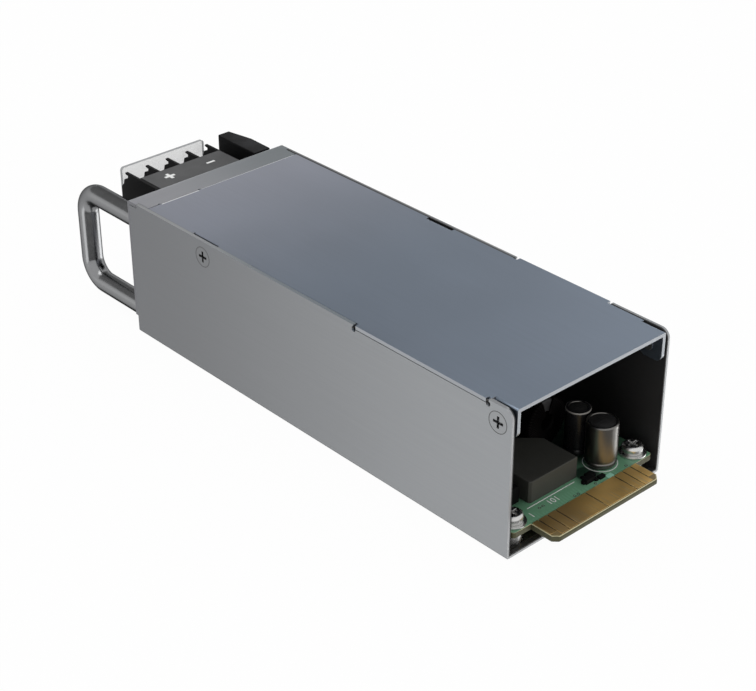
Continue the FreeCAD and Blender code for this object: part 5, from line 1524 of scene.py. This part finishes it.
@dataclass
class Chokes(Rounded):
    """Ring cores wound with enamelled wire, the moulded inductor and the small parts beside it."""

    edges: Rows = (("choke_core", 0.5, None, 3), ("output_choke_core", 0.5, None, 3),
                   ("output_inductor", 0.14, "moulded_iron"), ("small_parts", 0.15))
    wire: float = 0.36
    sides: int = 10
    corner_steps: int = 5
    spacing: float = 0.03
    corner: float = 0.4
    close: float = 0.001
    windings: tuple[Winding, ...] = (
        Winding("input_choke_turns", "choke_windings", (-3.2, -21.4, 10.3), Axis.Z, 3.2, 8.0, 7.0,
                ((20.0, 5.4, 27), (200.0, 5.4, 27))),
        # Its wire takes painted_shade_wire, painted near black as shade.
        Winding("output_choke_turns", "output_choke_winding", (-7.8, 48.2, 12.8), Axis.Y, 2.6, 6.0, 5.0,
                ((-70.0, 6.8, 48),), "painted_shade_wire"))

    def build(self, kit: Kit) -> None:
        """Winds both ring cores, then rounds the rest.

        Args:
            kit: Where the pieces go.
        """
        for winding in self.windings:
            self._wind(kit, winding)
        super().build(kit)

    def _wind(self, kit: Kit, winding: Winding) -> None:
        """Lays turns of wire round a ring core.

        Args:
            kit: Where the piece goes.
            winding: What is wound.
        """
        gap, bend = self.wire + self.spacing, self.corner
        left, right = winding.inner - gap, winding.outer + gap
        top = winding.height / 2 + gap
        shape = Shape()
        rod = Rod(shape, (left + bend, 0, top), (1, 0, 0), self.wire, self.sides)
        for corner, step in (((right - bend, 0, top - bend), (right - left - 2 * bend, 0, 0)),
                             ((right - bend, 0, bend - top), (0, 0, -2 * (top - bend))),
                             ((left + bend, 0, bend - top), (left - right + 2 * bend, 0, 0)),
                             ((left + bend, 0, top - bend), (0, 0, 2 * (top - bend)))):
            rod.run(step).bend(corner, (0, 1, 0), 90, self.corner_steps)
        bmesh.ops.remove_doubles(shape.mesh, verts=shape.mesh.verts, dist=self.close)
        first = list(shape.mesh.verts) + list(shape.mesh.edges) + list(shape.mesh.faces)
        start, *others = winding.angles
        copies = [(angle, bmesh.ops.duplicate(shape.mesh, geom=first)["geom"]) for angle in others]
        for angle, geometry in [*copies, (start, first)]:
            bmesh.ops.rotate(shape.mesh, cent=(0, 0, 0), matrix=Matrix.Rotation(math.radians(angle), 3, "Z"),
                             verts=verts_of(geometry))
        bmesh.ops.transform(shape.mesh, verts=shape.mesh.verts,
                            matrix=Matrix.Translation(winding.centre) @ winding.axis.turn.to_4x4())
        kit.place(shape, winding.name, "enamelled_copper", finish=winding.finish, stands_for=[winding.node])


@dataclass
class PowerParts(Rounded):
    """Transformer, heatsinks, transistors, film capacitor and control board."""

    edges: Rows = (("transformer_core", 0.3), ("transformer_bobbin", 0.15), ("transformer_winding", 0.3),
                   ("primary_heatsink", 0.15), ("secondary_heatsink", 0.15), ("power_transistors", 0.15),
                   ("transistor_screws", 0.12), ("film_capacitor", 0.3), ("control_board", 0.06),
                   ("control_chips", 0.12), ("control_header", 0.1))


@dataclass(frozen=True)
class Card:
    """A studio card far from the object that only polished surfaces see.

    Its directions from the object are given as compass angles and heights in degrees, and a glow of 1 is as bright
    as the white background."""

    name: str
    compass: Pair
    height: Pair
    glow: float
    steps: int = 12

    def build(self, distance: float) -> None:
        """Makes the card as part of a sphere round the object.

        Args:
            distance: Radius of the sphere in metres.
        """
        low, high = (math.radians(angle) for angle in self.height)
        start, end = (math.radians(angle) for angle in self.compass)
        mesh = bmesh.new()
        verts = []
        for step in range(self.steps + 1):
            angle = low + (high - low) * step / self.steps
            verts.append(mesh.verts.new((distance * math.cos(angle) * math.cos(start),
                                         distance * math.cos(angle) * math.sin(start), distance * math.sin(angle))))
        edges = [mesh.edges.new(pair) for pair in zip(verts, verts[1:])]
        bmesh.ops.spin(mesh, geom=verts + edges, cent=(0, 0, 0), axis=(0, 0, 1), angle=end - start,
                       steps=self.steps * 2, use_merge=False)
        card = add_mesh(self.name, mesh)
        graph = Graph("finish_" + self.name)
        graph.node_output(graph.node("ShaderNodeEmission", None, {"Color": WHITE, "Strength": self.glow}))
        graph.material.cycles.emission_sampling = "NONE"
        card.data.materials.append(graph.material)
        for seen in ("visible_camera", "visible_diffuse", "visible_transmission", "visible_shadow"):
            setattr(card, seen, False)


@dataclass(frozen=True)
class Lamp:
    """A soft square lamp: its place and side in metres, its power in watts, and whether polished surfaces show it."""

    name: str
    place: Point
    size: float
    power: float
    colour: Colour
    mirrored: bool


@dataclass
class Studio:
    """Pale floor, plain soft light and the camera."""

    eye: Point = (0.2716, 0.2978, 0.2531)
    heading: Point = (-0.5791, -0.6375, -0.5082)
    roll: float = -0.17
    lens: float = 86.53
    sensor: float = 36.0
    near: float = 0.01
    floor_size: float = 6.0
    floor_drop: float = 0.0002
    floor_grey: float = 0.8
    shadow: float = 0.035
    ambient: float = 0.75
    middle: Point = (0.0, 0.0, 0.02)
    lamps: tuple[Lamp, ...] = (
        Lamp("overhead", (0.3, -0.4, 1.5), 1.0, 6.0, (1.0, 0.99, 0.98), True),
        Lamp("mouth", (-0.05, 0.75, 0.16), 0.22, 1.45, (1.0, 0.96, 0.90), False),
    )
    card_distance: float = 2.5
    cards: tuple[Card, ...] = (
        Card("sky_card", (-142.0, -44.0), (21.0, 64.0), 0.28),
        Card("front_card", (6.0, 116.0), (-42.0, -19.0), 0.19),
        Card("low_card", (-140.0, -62.0), (-64.0, -38.0), 0.16),
        Card("left_strip", (-25.0, 3.0), (-42.0, -19.0), 2.05),
        Card("leg_strip", (-54.0, -34.0), (-7.0, 11.0), 1.2),
        Card("right_strip", (150.0, 188.0), (-42.0, -19.0), 3.9),
        Card("back_strip", (205.0, 240.0), (2.0, 13.0), 2.0),
    )

    def build(self) -> None:
        """Sets up everything round the object."""
        self._camera()
        self._world()
        self._floor()
        for card in self.cards:
            card.build(self.card_distance)
        for lamp in self.lamps:
            self._lamp(lamp)
        bpy.context.scene.view_settings.view_transform = "Standard"

    def _camera(self) -> None:
        """Camera at the photograph's place."""
        data = bpy.data.cameras.new("camera")
        data.sensor_fit = "HORIZONTAL"
        data.sensor_width = self.sensor
        data.lens = self.lens
        data.clip_start = self.near
        made = add_object("camera", data)
        roll = Matrix.Rotation(math.radians(self.roll), 4, "Z")
        made.matrix_world = self._aimed(self.eye, Vector(self.heading)) @ roll
        bpy.context.scene.camera = made

    @staticmethod
    def _aimed(place: Point, heading: Vector) -> Matrix:
        """Transform of a camera or lamp at a place that looks along a heading."""
        return Matrix.Translation(place) @ heading.to_track_quat("-Z", "Y").to_matrix().to_4x4()

    def _seen(self, tree: bpy.types.NodeTree) -> bpy.types.NodeSocket:
        """1 for rays that show the background: straight, by reflection or through something clear.

        Args:
            tree: The tree that the nodes are added to.

        Returns:
            The output that tells it.
        """
        path = tree.nodes.new("ShaderNodeLightPath")
        total = path.outputs["Is Camera Ray"]
        for name in ("Is Glossy Ray", "Is Transmission Ray"):
            add = tree.nodes.new("ShaderNodeMath")
            add.operation = "ADD"
            add.use_clamp = True
            tree.links.new(total, add.inputs[0])
            tree.links.new(path.outputs[name], add.inputs[1])
            total = add.outputs[0]
        return total

    def _world(self) -> None:
        """White where it is seen, softer where it lights."""
        world = bpy.data.worlds.new("studio")
        bpy.context.scene.world = world
        world.use_nodes = True
        tree = world.node_tree
        tree.nodes.clear()
        ends = []
        for strength in (self.ambient, 1.0):
            background = tree.nodes.new("ShaderNodeBackground")
            background.inputs["Color"].default_value = WHITE
            background.inputs["Strength"].default_value = strength
            ends.append(background.outputs[0])
        mix = tree.nodes.new("ShaderNodeMixShader")
        tree.links.new(self._seen(tree), mix.inputs[0])
        for index, end in enumerate(ends, 1):
            tree.links.new(end, mix.inputs[index])
        output = tree.nodes.new("ShaderNodeOutputWorld")
        tree.links.new(mix.outputs[0], output.inputs["Surface"])

    def _floor(self) -> None:
        """White floor that keeps a faint shadow."""
        mesh = bmesh.new()
        bmesh.ops.create_grid(mesh, x_segments=1, y_segments=1, size=self.floor_size / 2,
                              matrix=Matrix.Translation((0, 0, -self.floor_drop)))
        floor = add_mesh("floor", mesh)
        graph = Graph("finish_floor")
        grey = (self.floor_grey,) * 3
        matt = graph.node("ShaderNodeBsdfDiffuse", None, {"Color": (*grey, 1.0)})
        glow = graph.node("ShaderNodeEmission", None, {"Color": WHITE, "Strength": 1.0})
        factor = Socket(graph, self._seen(graph.tree)) * (1 - self.shadow)
        graph.node_output(graph.node("ShaderNodeMixShader", None, {0: factor, 1: matt, 2: glow}))
        floor.data.materials.append(graph.material)
        floor.visible_glossy = False

    def _lamp(self, lamp: Lamp) -> None:
        """Sets up a lamp aimed at the middle of the object.

        Args:
            lamp: Which one.
        """
        data = bpy.data.lights.new(lamp.name, "AREA")
        data.size = lamp.size
        data.energy = lamp.power
        data.color = lamp.colour
        made = add_object(lamp.name, data)
        made.matrix_world = self._aimed(lamp.place, Vector(self.middle) - Vector(lamp.place))
        made.visible_camera = False
        made.visible_glossy = lamp.mirrored


def main() -> None:
    """Loads the frame, dresses every sub-assembly and sets up the studio."""
    logging.basicConfig(level=logging.INFO, format="%(message)s")
    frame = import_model()
    kit = Kit(frame, Finishes())
    Studio().build()
    for assembly in (CaseShell(), Handle(), InputTerminals(), ReleaseLever(), CoolingFan(), BoardPrint(), *CANS,
                     Chokes(), PowerParts()):
        assembly.build(kit)
    kit.rest()


if __name__ == "__main__":
    main()
